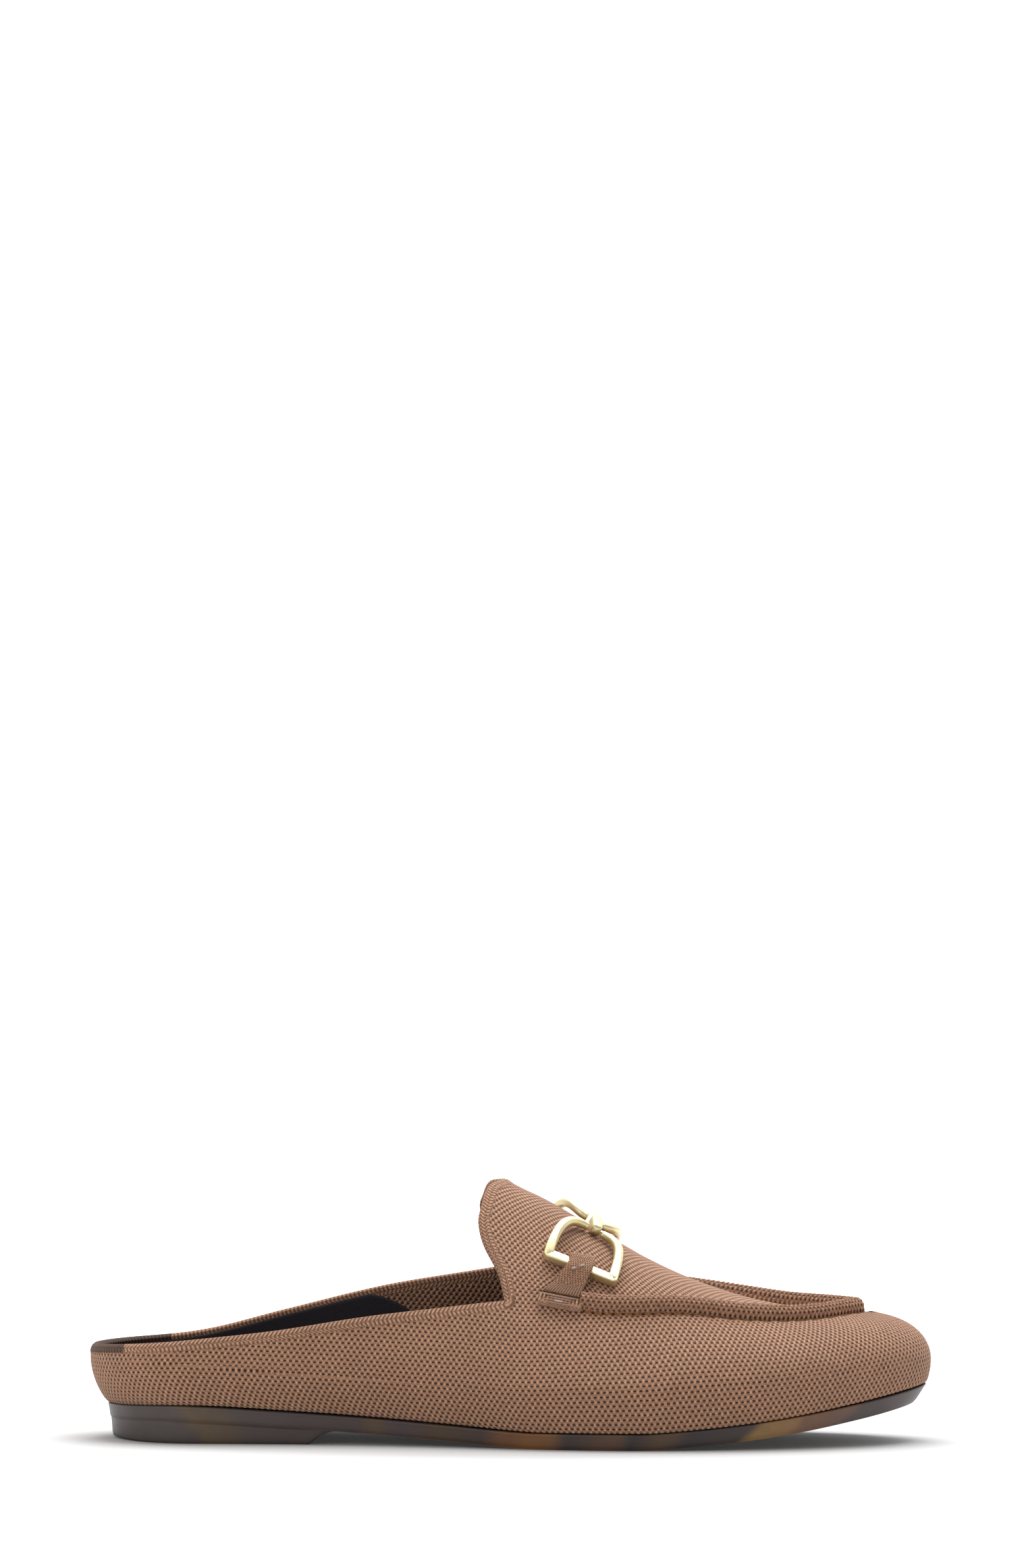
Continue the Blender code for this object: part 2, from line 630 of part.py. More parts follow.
for old in list(bpy.data.objects):
    bpy.data.objects.remove(old, do_unlink=True)
parts = bpy.data.collections.new("loafer_mule")
bpy.context.scene.collection.children.link(parts)
frame = bpy.data.objects.new("shoe_frame", None)
bpy.context.scene.collection.objects.link(frame)
everywhere = np.linspace(0, 1, 400)
outer_reach = -outline(LATERAL, everywhere, 1)[1].min()
inner_reach = outline(MEDIAL, everywhere, 1)[1].max()
frame.location.y = (outer_reach - inner_reach) / 2

make_upper()
make_outsole()
make_insole()
make_apron()
make_link()
for shoe_side in (LATERAL, MEDIAL):
    make_ring(shoe_side)
    make_keeper(shoe_side)
    make_pad(shoe_side)
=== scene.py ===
# %% [markdown]
# # A knitted loafer mule with a snaffle bit
#
# The shoe is a right one. Its upper is knitted in one piece from a thin tan and brown
# yarn, a bit in pale gold lies over the instep, and a dark, tortoiseshell sole carries it.
# All shapes are worked out from a few sizes of the last, in metres: +X is the toe,
# -Y the outer side of the foot, and the floor is z = 0.

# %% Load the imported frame
import math

import bpy
import numpy as np
from mathutils import Matrix


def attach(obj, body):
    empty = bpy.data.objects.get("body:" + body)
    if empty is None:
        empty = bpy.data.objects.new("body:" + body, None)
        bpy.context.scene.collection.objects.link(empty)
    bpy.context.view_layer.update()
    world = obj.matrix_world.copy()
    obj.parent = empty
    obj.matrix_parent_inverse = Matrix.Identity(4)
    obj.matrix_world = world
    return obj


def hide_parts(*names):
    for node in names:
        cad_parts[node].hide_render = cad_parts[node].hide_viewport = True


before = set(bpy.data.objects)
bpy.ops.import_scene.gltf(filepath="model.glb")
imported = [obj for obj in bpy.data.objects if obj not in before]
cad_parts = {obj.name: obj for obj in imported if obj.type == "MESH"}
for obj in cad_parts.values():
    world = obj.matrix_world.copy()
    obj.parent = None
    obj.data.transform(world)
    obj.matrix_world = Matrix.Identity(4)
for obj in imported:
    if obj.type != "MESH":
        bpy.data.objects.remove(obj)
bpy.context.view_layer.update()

# %% [markdown]
# ## Small tools
#
# Colours are written as sRGB hex values, the way a colour picker shows them, and Blender's
# nodes want linear light, so one function turns the one into the other. A second function
# adds a node to a material with its options and links, and five short ones call it for the
# nodes that come up most. The mesh tools put numpy grids into a mesh: one merges the points
# that two grids share, and a map of the surface is kept for each corner, so that a pattern
# can run on over a seam.

# %% Colour and node tools
def linear(colour, alpha=1.0):
    """sRGB hex to linear RGBA: below 0.04045 a straight line, above it a 2.4 power."""
    parts = np.array([int(colour[i:i + 2], 16) for i in (1, 3, 5)]) / 255
    light = np.where(parts <= 0.04045, parts / 12.92, ((parts + 0.055) / 1.055) ** 2.4)
    return (*light.tolist(), alpha)


def add(tree, kind, inputs=(), out=0, **options):
    """Adds a node, sets its options, links or fills its sockets and returns one output."""
    made = tree.nodes.new(kind)
    for option, value in options.items():
        setattr(made, option, value)
    pairs = inputs.items() if isinstance(inputs, dict) else enumerate(inputs)
    for socket, value in pairs:
        if isinstance(value, bpy.types.NodeSocket):
            tree.links.new(value, made.inputs[socket])
        elif value is not None:
            made.inputs[socket].default_value = value
    return made.outputs[out]


def calc(tree, operation, *values):
    """A Math node."""
    return add(tree, "ShaderNodeMath", values, operation=operation)


def spread(tree, value, low=0.0, high=1.0, start=0.0, end=1.0, soft=False):
    """A value from low to high becomes start to end and goes no further; soft is an S curve."""
    return add(tree, "ShaderNodeMapRange", (value, low, high, start, end),
               interpolation_type="SMOOTHSTEP" if soft else "LINEAR")


def mixed(tree, share, first, second):
    """A colour between two: the first at share 0, the second at share 1."""
    return add(tree, "ShaderNodeMix", {0: share, 6: first, 7: second}, 2, data_type="RGBA")


def noise(tree, place, scale, detail=3.0):
    return add(tree, "ShaderNodeTexNoise", {"Vector": place, "Scale": scale, "Detail": detail})


def uv_parts(tree, title):
    """U and V of one of the mesh's maps."""
    return add(tree, "ShaderNodeSeparateXYZ",
               [add(tree, "ShaderNodeUVMap", uv_map=title)]).node.outputs[:2]


def new_material(name, **sockets):
    """A material with one Principled shader and the object's coordinates for its patterns.

    Constant values go on the shader's own sockets.
    """
    material = bpy.data.materials.new(name)
    material.use_nodes = True
    tree = material.node_tree
    shader = tree.nodes["Principled BSDF"]
    for socket, value in sockets.items():
        shader.inputs[socket.replace("_", " ")].default_value = value
    return material, tree, shader, add(tree, "ShaderNodeTexCoord", out="Object")


def dress(tree, shader, colour, height, strength, distance):
    """Gives the shader its colour and a bump from a height."""
    tree.links.new(colour, shader.inputs["Base Color"])
    bump = add(tree, "ShaderNodeBump",
               {"Strength": strength, "Distance": distance, "Height": height})
    tree.links.new(bump, shader.inputs["Normal"])


print("linear mid grey", linear("#808080"))

# %% Mesh tools
def grid_quads(columns, rows, first=0, flip=False):
    """Corner numbers of a grid's faces: columns x rows points, counted row by row."""
    a = first + (np.arange(columns - 1)[:, None] * rows + np.arange(rows - 1)).ravel()
    quads = np.stack([a, a + rows, a + rows + 1, a + 1], axis=1)
    return quads[:, ::-1] if flip else quads


def ring_quads(rings, around):
    """Corner numbers of the faces between rings of points, each ring joined to the next."""
    first = np.arange(rings - 1)[:, None] * around
    a = (first + np.arange(around)).ravel()
    b = (first + (np.arange(around) + 1) % around).ravel()
    return np.stack([a, a + around, b + around, b], 1)


MERGE_CELL = 2e-6


def weld(points):
    """Numbers of the points after those in the same cell of 2 micrometres are merged."""
    keys = np.round(points / MERGE_CELL).astype(np.int64)
    first, index = np.unique(keys, axis=0, return_index=True, return_inverse=True)[1:]
    return first, index.ravel()


def point_normals(points, quads):
    """Mean of the faces' normals at each point, from the cross product of the diagonals."""
    corner = points[quads]
    normals = np.cross(corner[:, 2] - corner[:, 0], corner[:, 3] - corner[:, 1])
    total = np.stack([np.bincount(quads.ravel(), np.repeat(normals[:, i], 4), len(points))
                      for i in range(3)], axis=1)
    return total / np.maximum(np.linalg.norm(total, axis=1, keepdims=True), 1e-20)


def unit(vectors):
    return vectors / np.linalg.norm(vectors, axis=-1, keepdims=True)


def mesh_piece(name, points, quads, material, maps=None):
    """One object at the origin from points and faces; maps holds UV pairs per corner."""
    mesh = bpy.data.meshes.new(name)
    mesh.from_pydata(points, [], quads.tolist())
    for title, pairs in (maps or {}).items():
        layer = mesh.uv_layers.new(name=title)
        layer.data.foreach_set("uv", np.ascontiguousarray(pairs, np.float32).ravel())
    mesh.shade_smooth()
    mesh.materials.append(material)
    piece = bpy.data.objects.new(name, mesh)
    bpy.context.scene.collection.objects.link(piece)
    print(name, len(points), "points", len(quads), "faces")
    return piece


def welded_piece(name, points, quads, material, slot, knit=None):
    """A piece with its double points merged; knit is a map of its points in millimetres."""
    first, index = weld(points)
    maps = None if knit is None else {"knit": knit[quads]}
    return mesh_piece(name, points[first], index[quads], material, maps)


# %% [markdown]
# ## The last
#
# A shoe is built round a last, a wooden or plastic foot. Here it is a table: each row is a
# section across the foot, and a smooth curve runs through every column. The upper, the
# sole, the insole and the lining all read it, so they fit each other without any fitting.

# %% Sizes of the last
SHOE_LENGTH = 0.257
BALL_WIDTH = 0.087
INSTEP_HEIGHT = 0.0736
COLLAR_HEIGHT = 0.0178
WALL = 0.0020
HEEL_TUCK = 0.0056
TOE_TUCK = 0.0013
TUCK_POWER = 0.75
THROAT_AT = 0.4925
SPINE_SHARE = 0.76
HEEL_SHARE = 0.125
TOE_SHARE = 0.235
SOLE_THICKNESS = 0.0048
HEEL_RISE = 0.0064
TOE_SPRING = 0.0129
GAP = 0.0003
LATERAL, MEDIAL = -1, 1

LAST_COLUMNS = ("at", "lateral", "medial", "over_lateral", "over_medial", "axis", "crest",
                "heel_rise", "toe_rise", "bulge", "ridge", "round",
                "full_lateral", "full_medial",
                "rim_lateral", "rim_medial", "apron_lateral", "apron_medial",
                "seam_lateral", "seam_medial")
LAST = np.array((
    (0.00, 0.339, 0.328, 0.023, 0.023, 0.000, 0.000, 0.88, 0.00, 0.82, 0.348, 2.2,
     2.00, 2.00, 1.000, 1.00, 0.76, 0.78, 1.0, 1.0),
    (0.12, 0.343, 0.331, 0.023, 0.023, 0.000, 0.000, 1.00, 0.00, 0.68, 0.473, 2.2,
     2.00, 2.00, 1.080, 1.09, 0.76, 0.78, 1.0, 1.0),
    (0.22, 0.345, 0.328, 0.023, 0.029, 0.000, 0.005, 0.80, 0.00, 0.63, 0.655, 2.2,
     2.00, 2.00, 1.315, 1.52, 0.76, 0.78, 1.0, 1.0),
    (0.32, 0.353, 0.299, 0.023, 0.046, 0.000, 0.020, 0.55, 0.00, 0.63, 0.840, 2.2,
     1.80, 1.90, 1.635, 1.97, 0.76, 0.78, 1.0, 1.0),
    (0.42, 0.412, 0.306, 0.021, 0.048, 0.000, 0.045, 0.27, 0.00, 0.67, 1.052, 2.1,
     1.40, 1.55, 1.930, 2.35, 0.76, 0.79, 1.0, 1.0),
    (0.52, 0.501, 0.385, 0.017, 0.035, 0.000, 0.072, 0.00, 0.00, 0.74, 0.952, 1.95,
     1.18, 1.34, 2.240, 2.70, 0.745, 0.79, 1.00, 1.00),
    (0.62, 0.543, 0.451, 0.016, 0.023, 0.003, 0.090, 0.00, -0.03, 0.75, 0.758, 2.0,
     1.22, 1.55, 2.600, 3.10, 0.720, 0.74, 1.00, 1.00),
    (0.72, 0.522, 0.439, 0.016, 0.018, 0.010, 0.088, 0.00, 0.10, 0.72, 0.568, 2.4,
     1.50, 2.10, 3.000, 3.50, 0.665, 0.63, 1.00, 1.25),
    (0.82, 0.466, 0.393, 0.016, 0.016, 0.020, 0.072, 0.00, 0.33, 0.65, 0.431, 2.8,
     1.75, 2.30, 3.400, 3.90, 0.620, 0.54, 1.00, 1.45),
    (0.91, 0.423, 0.368, 0.015, 0.015, 0.029, 0.052, 0.00, 0.64, 0.53, 0.358, 3.0,
     2.00, 2.20, 3.800, 4.30, 0.510, 0.44, 1.00, 1.35),
    (1.00, 0.402, 0.356, 0.015, 0.015, 0.035, 0.035, 0.00, 1.00, 0.40, 0.296, 3.0,
     2.00, 2.00, 4.200, 4.70, 0.260, 0.26, 1.10, 1.10),
))
TONGUE = np.array((
    (0.00, 0.0025), (0.06, 0.0030), (0.16, 0.0065), (0.35, 0.019), (0.55, 0.026),
    (0.70, 0.030), (0.80, 0.024), (0.90, 0.007), (1.00, 0.000),
))
print("sections of the last:", len(LAST))

# %% Curves through the table
def curve(places, values, at):
    """Cubic curve through points: its slope at a point is that of its two neighbours."""
    slopes = np.gradient(values, places)
    at = np.clip(np.asarray(at, float), places[0], places[-1])
    low = np.clip(np.searchsorted(places, at, side="right") - 1, 0, len(places) - 2)
    step = places[low + 1] - places[low]
    t = (at - places[low]) / step
    return ((1 + 2 * t) * (1 - t) ** 2 * values[low] + t * (1 - t) ** 2 * step * slopes[low]
            + t ** 2 * (3 - 2 * t) * values[low + 1] - t ** 2 * (1 - t) * step * slopes[low + 1])


def last(name, at):
    return curve(LAST[:, 0], LAST[:, LAST_COLUMNS.index(name)], at)


def side_name(side):
    return "lateral" if side == LATERAL else "medial"


def worn_side(side):
    """The side's word in the names of the pieces."""
    return "outer" if side == LATERAL else "inner"


def even(turn):
    """Share of the length for an even turn from the heel (0) to the toe (1)."""
    return (1 - np.cos(math.pi * np.asarray(turn, float))) / 2


def turn_of(at):
    return np.arccos(np.clip(1 - 2 * np.asarray(at, float), -1, 1)) / math.pi


def share_of(x):
    return np.asarray(x, float) / SHOE_LENGTH + 0.5


def outline(side, at, reach):
    """Plan outline, an ellipse at each end: reach 0 at the sole's edge, 1 at the widest."""
    heel = np.clip((HEEL_SHARE - at) / HEEL_SHARE, 0, 1)
    toe = np.clip((at - 1 + TOE_SHARE) / TOE_SHARE, 0, 1)
    ends = np.sqrt((1 - heel ** 2) * (1 - toe ** 2))
    half = last(side_name(side), at) + reach * last("over_" + side_name(side), at)
    start = -SHOE_LENGTH / 2 + (1 - reach) * HEEL_TUCK
    end = SHOE_LENGTH / 2 - (1 - reach) * TOE_TUCK
    return start + (end - start) * at, BALL_WIDTH * (last("axis", at) + side * half * ends)


everywhere = np.linspace(0, 1, 400)
SIDE_SHIFT = -(outline(LATERAL, everywhere, 1)[1].min()
               + outline(MEDIAL, everywhere, 1)[1].max()) / 2
print("shift that centres the shoe", round(SIDE_SHIFT * 1000, 2), "mm")

# %% Heights of the last
def shank_height(at):
    """Underside of the thin sole: raised at the heel, flat at the ball, sprung at the toe."""
    return np.maximum(HEEL_RISE * last("heel_rise", at) + TOE_SPRING * last("toe_rise", at), 0)


def feather_height(at):
    """The line where the upper meets the sole."""
    return shank_height(at) + SOLE_THICKNESS


def ridge_height(at):
    return feather_height(at) + INSTEP_HEIGHT * last("ridge", at)


def widest_height(at):
    return feather_height(at) + COLLAR_HEIGHT * last("bulge", at)


def surface(side, at, climb):
    """Outside of the upper: climb is 0 at the sole, 1 at the widest line, 2 at the crest.

    Below 1 the wall leans in along a quarter sine. Above 1 each outline shrinks towards the
    crest line, and its height follows (1 - way^round)^(1/full).
    """
    at, climb = np.broadcast_arrays(np.asarray(at, float), np.asarray(climb, float))
    tuck = np.clip(climb, 0, 1)
    wall_x, wall_y = outline(side, at, np.sin(tuck * math.pi / 2) ** TUCK_POWER)
    wall_z = feather_height(at) + GAP + (widest_height(at) - feather_height(at) - GAP) * tuck
    way = np.clip(2 - climb, 0, 1)
    x = wall_x * (SPINE_SHARE + (1 - SPINE_SHARE) * way)
    middle = BALL_WIDTH * last("crest", at)
    y = middle + (wall_y - middle) * way
    swell = (1 - way ** last("round", at)) ** (1 / last("full_" + side_name(side), at))
    z = wall_z + (ridge_height(share_of(x)) - wall_z) * swell
    high = climb > 1
    return np.stack([np.where(high, x, wall_x), np.where(high, y, wall_y) + SIDE_SHIFT,
                     np.where(high, z, wall_z)], axis=-1)


def rim_height(side, at):
    return feather_height(at) + COLLAR_HEIGHT * last("rim_" + side_name(side), at)


def climb_at(side, at, height):
    """Climb at a height: straight below the widest line, the bulge's inverse above it."""
    foot, low = feather_height(at) + GAP, widest_height(at)
    swell = np.clip((height - low) / (ridge_height(at) - low), 0, 1)
    way = (1 - swell ** last("full_" + side_name(side), at)) ** (1 / last("round", at))
    return np.where(height < low, np.clip((height - foot) / (low - foot), 0, 1), 2 - way)


def rim_way(side, at):
    """Place of the collar between the crest (0) and the widest line (1)."""
    return 2 - climb_at(side, at, rim_height(side, at))


def tongue_at(side, way):
    """Share of the length at the tongue's edge, for a way between corner and crest."""
    corner = rim_way(side, THROAT_AT)
    back = SHOE_LENGTH * curve(TONGUE[:, 0], TONGUE[:, 1], way / corner)
    corner_x = surface(side, THROAT_AT, 2 - corner)[0]
    return share_of((corner_x - back) / (SPINE_SHARE + (1 - SPINE_SHARE) * way))


print("top of the tongue", np.round(surface(LATERAL, tongue_at(LATERAL, 0.0), 2.0) * 1000, 1))

# %% [markdown]
# ## Maps of the knit
#
# A knit follows the way it was made: on the side its rows run along the sole, and on the
# vamp they run along the crest. So the map of the cloth is measured on the last itself, in
# millimetres: U is the run along the outline or along the crest, V the girth from the sole
# or from the crest. A weight blends the two over the tongue, and jumps below the raised
# seam, where the real cloth is sewn.

# %% Measure the last
STITCH_WIDE = 1.8      # mm from one stitch to the next in a row
STITCH_HIGH = 1.25     # mm from one row to the next
RIM_STITCH = 1.3       # mm from one stitch to the next along the collar
JOIN_AT = 0.53         # where the rows of the side meet those of the vamp
CREST_STRETCH = 1.12   # how much closer the stitches stand on the crest
SIDE_GIRTH = 38        # mm of rows from the sole to the raised seam
STITCHED_FROM = 0.0225  # place along the shoe where the stitched line starts, before the pad

TABLE_AT = even(np.linspace(0, 1, 201))
TABLE_CLIMB = np.concatenate([np.linspace(0, 1, 25)[:-1], 1 + np.linspace(0, 1, 90) ** 1.5])


def sampled(table, at, climb):
    """A measured table read anywhere, straight between its four neighbours."""
    column = np.clip(turn_of(at) * 200, 0, 199.999)
    row = np.interp(climb, TABLE_CLIMB, np.arange(len(TABLE_CLIMB)))
    row = np.clip(row, 0, len(TABLE_CLIMB) - 1.001)
    i, j = column.astype(int), row.astype(int)
    s, t = column - i, row - j
    return ((1 - s) * (1 - t) * table[i, j] + s * (1 - t) * table[i + 1, j]
            + (1 - s) * t * table[i, j + 1] + s * t * table[i + 1, j + 1])


def run_along(points):
    """Length along a line of points, from its first one, in millimetres."""
    steps = np.linalg.norm(np.diff(points, axis=0), axis=-1)
    return np.concatenate([np.zeros((1,) + steps.shape[1:]), np.cumsum(steps, axis=0)]) * 1000


def seam_climb(side, at):
    return 2 - last("apron_" + side_name(side), at)


measured = {}
for side in (LATERAL, MEDIAL):
    shell = surface(side, TABLE_AT[:, None], TABLE_CLIMB[None, :])
    seam_at = even(np.linspace(0.3, 1, 400))
    seam_line = surface(side, seam_at, seam_climb(side, seam_at))
    measured[side] = {
        "girth": run_along(shell.transpose(1, 0, 2)).T,
        "outline": run_along(surface(side, TABLE_AT, 1.0)),
        "crest": run_along(surface(side, TABLE_AT, 2.0)),
        "seam_at": seam_at, "seam": run_along(seam_line),
    }
    print(side_name(side), "outline", round(measured[side]["outline"][-1], 1), "mm")


def smooth(low, high, value):
    """0 below low, 1 above high, and an S between them."""
    t = np.clip((value - low) / (high - low), 0, 1)
    return t * t * (3 - 2 * t)


def knit_map(side, at, climb):
    """U and V of the knit in millimetres, and the run along and across the raised seam."""
    known = measured[side]
    stitches = 2 * round(known["outline"][-1] / STITCH_WIDE / 2)
    u_side = np.interp(at, TABLE_AT, known["outline"])
    u_side = u_side * stitches * STITCH_WIDE / known["outline"][-1]
    girth = sampled(known["girth"], at, climb)
    total = sampled(known["girth"], at, np.full(np.shape(at), 2.0))
    to_seam = sampled(known["girth"], at, seam_climb(side, at))
    rows = 2 * round(SIDE_GIRTH / STITCH_HIGH / 2) * STITCH_HIGH
    parallel = smooth(0.50, 0.66, at)
    v_side = girth * (1 + parallel * (rows / to_seam - 1))
    u_crest = np.interp(at, TABLE_AT, known["crest"]) * CREST_STRETCH
    mid = [np.interp(JOIN_AT, TABLE_AT, line)
           for line in (known["outline"], known["crest"] * CREST_STRETCH)]
    u_crest += STITCH_WIDE * round((mid[0] - mid[1]) / STITCH_WIDE)
    half_girth = float(sampled(known["girth"], JOIN_AT, 2.0))
    crest_rows = 2 * round(half_girth / STITCH_HIGH / 2) * STITCH_HIGH
    v_crest = crest_rows - (total - girth)
    soft = 0.20 - 0.18 * smooth(0.54, 0.575, at)
    weight = smooth(-0.5, 0.5, (climb - seam_climb(side, at)) / soft)
    u = u_side + weight * (u_crest - u_side)
    v = v_side + weight * (v_crest - v_side)
    along = np.interp(at, known["seam_at"], known["seam"])
    stitched = np.interp(float(share_of(STITCHED_FROM)), known["seam_at"], known["seam"])
    return np.stack([u, v], -1), np.stack([along - stitched, girth - to_seam], -1)


# %% [markdown]
# ## The upper
#
# The upper is one knitted shell, about 2 mm thick. Two grids a side cover it: the quarter,
# from the sole to the collar, and the vamp, from the sole over the instep to the crest.
# Raised and sunk places, such as the rolled collar and the groove beside the raised seam,
# are added along the normal of each point, and so are the creases, soft troughs and ridges
# whose places a short table holds. The inner face is the smooth form moved in by the wall's
# thickness, and a flattened round lip joins the two, so the shell is closed everywhere.

# %% Grids of the upper
QUARTER_COLUMNS, VAMP_COLUMNS = 150, 176
LOW_ROWS, RIM_ROWS, VAMP_ROWS = 13, 26, 38
NO_SEAM = -60.0        # mm: far off the raised seam, for faces that don't border on it


def upper_grids(side):
    """Places (at, climb) of the quarter and of the vamp, with the rim as the last row."""
    corner_turn = float(turn_of(THROAT_AT))
    rim_steps = (np.arange(1, RIM_ROWS + 1) / RIM_ROWS) ** 2
    quarter_at = even(np.linspace(0, corner_turn, QUARTER_COLUMNS + 1))[:, None]
    low = np.tile(np.linspace(0, 1, LOW_ROWS + 1), (QUARTER_COLUMNS + 1, 1))
    rim = 1 + (1 - rim_way(side, quarter_at)) * rim_steps
    quarter = np.stack(np.broadcast_arrays(quarter_at, np.concatenate([low, rim], 1)), -1)
    corner_way = float(rim_way(side, THROAT_AT))
    high = 2 - corner_way + corner_way * np.arange(1, VAMP_ROWS + 1) / VAMP_ROWS
    climbs = np.concatenate([quarter[-1, :, 1], high])
    start = np.full(len(climbs), corner_turn)
    start[-VAMP_ROWS:] = turn_of(tongue_at(side, 2 - high))
    turns = start + (1 - start) * np.linspace(0, 1, VAMP_COLUMNS + 1)[:, None]
    vamp = np.stack(np.broadcast_arrays(even(turns), climbs[None, :]), -1)
    return quarter, vamp


points, quads, knit, seam, bottoms, edges = [], [], [], [], {}, {}
count = 0
for side in (LATERAL, MEDIAL):
    for part, places in zip(("quarter", "vamp"), upper_grids(side)):
        columns, rows = places.shape[:2]
        at, climb = places[..., 0].ravel(), places[..., 1].ravel()
        points.append(surface(side, at, climb))
        cloth, welt = knit_map(side, at, climb)
        if part == "quarter":
            welt = np.full_like(welt, NO_SEAM)
        knit.append(cloth)
        seam.append(welt)
        quads.append(grid_quads(columns, rows, count, side == MEDIAL))
        numbers = count + np.arange(columns * rows).reshape(columns, rows)
        bottoms[side, part] = numbers[:, 0]
        edges[side, part] = numbers[:, -1] if part == "quarter" else numbers[0, -VAMP_ROWS - 1:]
        count += columns * rows
points, quads = np.concatenate(points), np.concatenate(quads)
knit, seam = np.concatenate(knit), np.concatenate(seam)
first, index = weld(points)
shell_points, shell_quads = points[first], index[quads]
shell_normals = point_normals(shell_points, shell_quads)
rim_loop, sole_loop = (
    index[np.concatenate([line[LATERAL, "quarter"], line[LATERAL, "vamp"][1:],
                          line[MEDIAL, "vamp"][-2::-1], line[MEDIAL, "quarter"][-2:0:-1]])]
    for line in (edges, bottoms))
print("shell", len(shell_points), "points, rim", len(rim_loop), "points")

# %% Raised and sunk places
def near_edge(points, loop):
    """Distance of each point to a loop, in mm, and the nearest place of the loop."""
    far, place = [], []
    for block in np.array_split(points, len(points) // 4000 + 1):
        square = ((block[:, None] - loop[None]) ** 2).sum(-1)
        far.append(np.sqrt(square.min(1)))
        place.append(square.argmin(1))
    return np.concatenate(far) * 1000, np.concatenate(place)


rim_distance, rim_place = near_edge(shell_points, shell_points[rim_loop])
rim_run = run_along(shell_points[rim_loop])
rim_run *= RIM_STITCH * round(rim_run[-1] / RIM_STITCH) / rim_run[-1]
welt_along, welt_across = seam[first].T
on_seam = smooth(-6, 2, welt_along)
rolled = 0.30 * np.exp(-((rim_distance - 1.5) / 1.35) ** 4)
below = -0.45 * np.exp(-((welt_across + 3.0) / 1.0) ** 2)
above = -0.40 * np.exp(-((welt_across - 2.6) / 1.1) ** 2)
pucker = (0.16 * np.sin(2 * math.pi * welt_along / 5.7)
          * np.exp(-((welt_across + 4.6) / 1.8) ** 2))

CREASES = np.array([
    # side, x and z of the middle in mm, angle, half length, half width, height in mm
    (LATERAL, -3, 43, -24, 13, 3.2, -0.40),
    (LATERAL, 4, 37, -20, 15, 3.6, 0.28),
    (LATERAL, 40, 27, 68, 11, 4.5, -0.30),
    (LATERAL, 49, 25, 72, 10, 4.0, 0.22),
    (LATERAL, -48, 30, 9, 22, 3.8, -0.28),
    (LATERAL, -92, 31, 4, 14, 3.6, 0.22),
    (LATERAL, 99, 27, -30, 9, 3.2, -0.20),
    (MEDIAL, -1, 41, -20, 14, 3.4, -0.36),
    (MEDIAL, 7, 35, -18, 15, 3.8, 0.25),
    (MEDIAL, 37, 29, 64, 12, 4.4, -0.32),
    (MEDIAL, 46, 26, 70, 10, 4.2, 0.24),
    (MEDIAL, -50, 29, 6, 24, 4.0, -0.30),
    (MEDIAL, 96, 28, -26, 9, 3.4, -0.20),
])
crease_side, crease_x, crease_z, crease_turn, crease_long, crease_wide, crease_high = CREASES.T
off_x = shell_points[:, :1] * 1000 - crease_x
off_z = shell_points[:, 2:] * 1000 - crease_z
lean_x, lean_z = np.cos(np.radians(crease_turn)), np.sin(np.radians(crease_turn))
soft_shape = np.exp(-((off_x * lean_x + off_z * lean_z) / crease_long) ** 2
                    - ((off_z * lean_x - off_x * lean_z) / crease_wide) ** 2)
on_side = smooth(4, 12, shell_points[:, 1:2] * 1000 * crease_side)
creased = (crease_high * soft_shape * on_side).sum(1)
relief = rolled + creased + on_seam * (below + above + pucker)
outer = shell_points + shell_normals * relief[:, None] / 1000
inner = shell_points - shell_normals * WALL
print("relief", relief.min().round(2), "to", relief.max().round(2), "mm")

# %% Close the shell with its lip
def loop_directions(loop):
    """Directions off the sheet at its edge: normal x edge direction, smoothed over 5 points."""
    path = shell_points[loop]
    ahead = sum(np.roll(path, -n, axis=0) - np.roll(path, n, axis=0) for n in (1, 2, 3))
    return unit(np.cross(shell_normals[loop], ahead))


LIP_STEPS, LIP_OUT = 7, 0.4
off_rim = LIP_OUT * loop_directions(rim_loop)
turns = np.linspace(0, math.pi, LIP_STEPS + 1)[1:-1]
middle = (outer[rim_loop] + inner[rim_loop]) / 2
radius = np.linalg.norm(outer[rim_loop] - inner[rim_loop], axis=1)[:, None] / 2
lip = [middle + radius * (math.cos(turn) * shell_normals[rim_loop] + math.sin(turn) * off_rim)
       for turn in turns]
size, ring = len(shell_points), len(rim_loop)
all_points = np.concatenate([outer, inner] + lip)
rings = [rim_loop] + [2 * size + ring * i + np.arange(ring) for i in range(len(turns))]
rings.append(rim_loop + size)
strips = [np.stack([a, np.roll(a, -1), np.roll(b, -1), b], 1) for a, b in zip(rings, rings[1:])]
under = np.stack([sole_loop + size, np.roll(sole_loop, -1) + size,
                  np.roll(sole_loop, -1), sole_loop], 1)
all_quads = np.concatenate([shell_quads, shell_quads[:, ::-1] + size] + strips + [under])
knit_corners = knit[quads]
seam_corners = seam[quads]
rim_knit = np.stack([np.arange(ring) * 0.55, np.zeros(ring)], -1)
strip_knit = [np.stack([rim_knit, np.roll(rim_knit, -1, 0), np.roll(rim_knit, -1, 0) + (0, 0.4),
                        rim_knit + (0, 0.4)], 1) for _ in strips]
loose = len(all_quads) - 2 * len(quads) - sum(len(part) for part in strip_knit)
knit_corners = np.concatenate([knit_corners, knit_corners[:, ::-1]] + strip_knit
                              + [np.zeros((loose, 4, 2))])
seam_corners = np.concatenate([seam_corners, seam_corners[:, ::-1],
                               np.full((len(all_quads) - 2 * len(quads), 4, 2), NO_SEAM)])
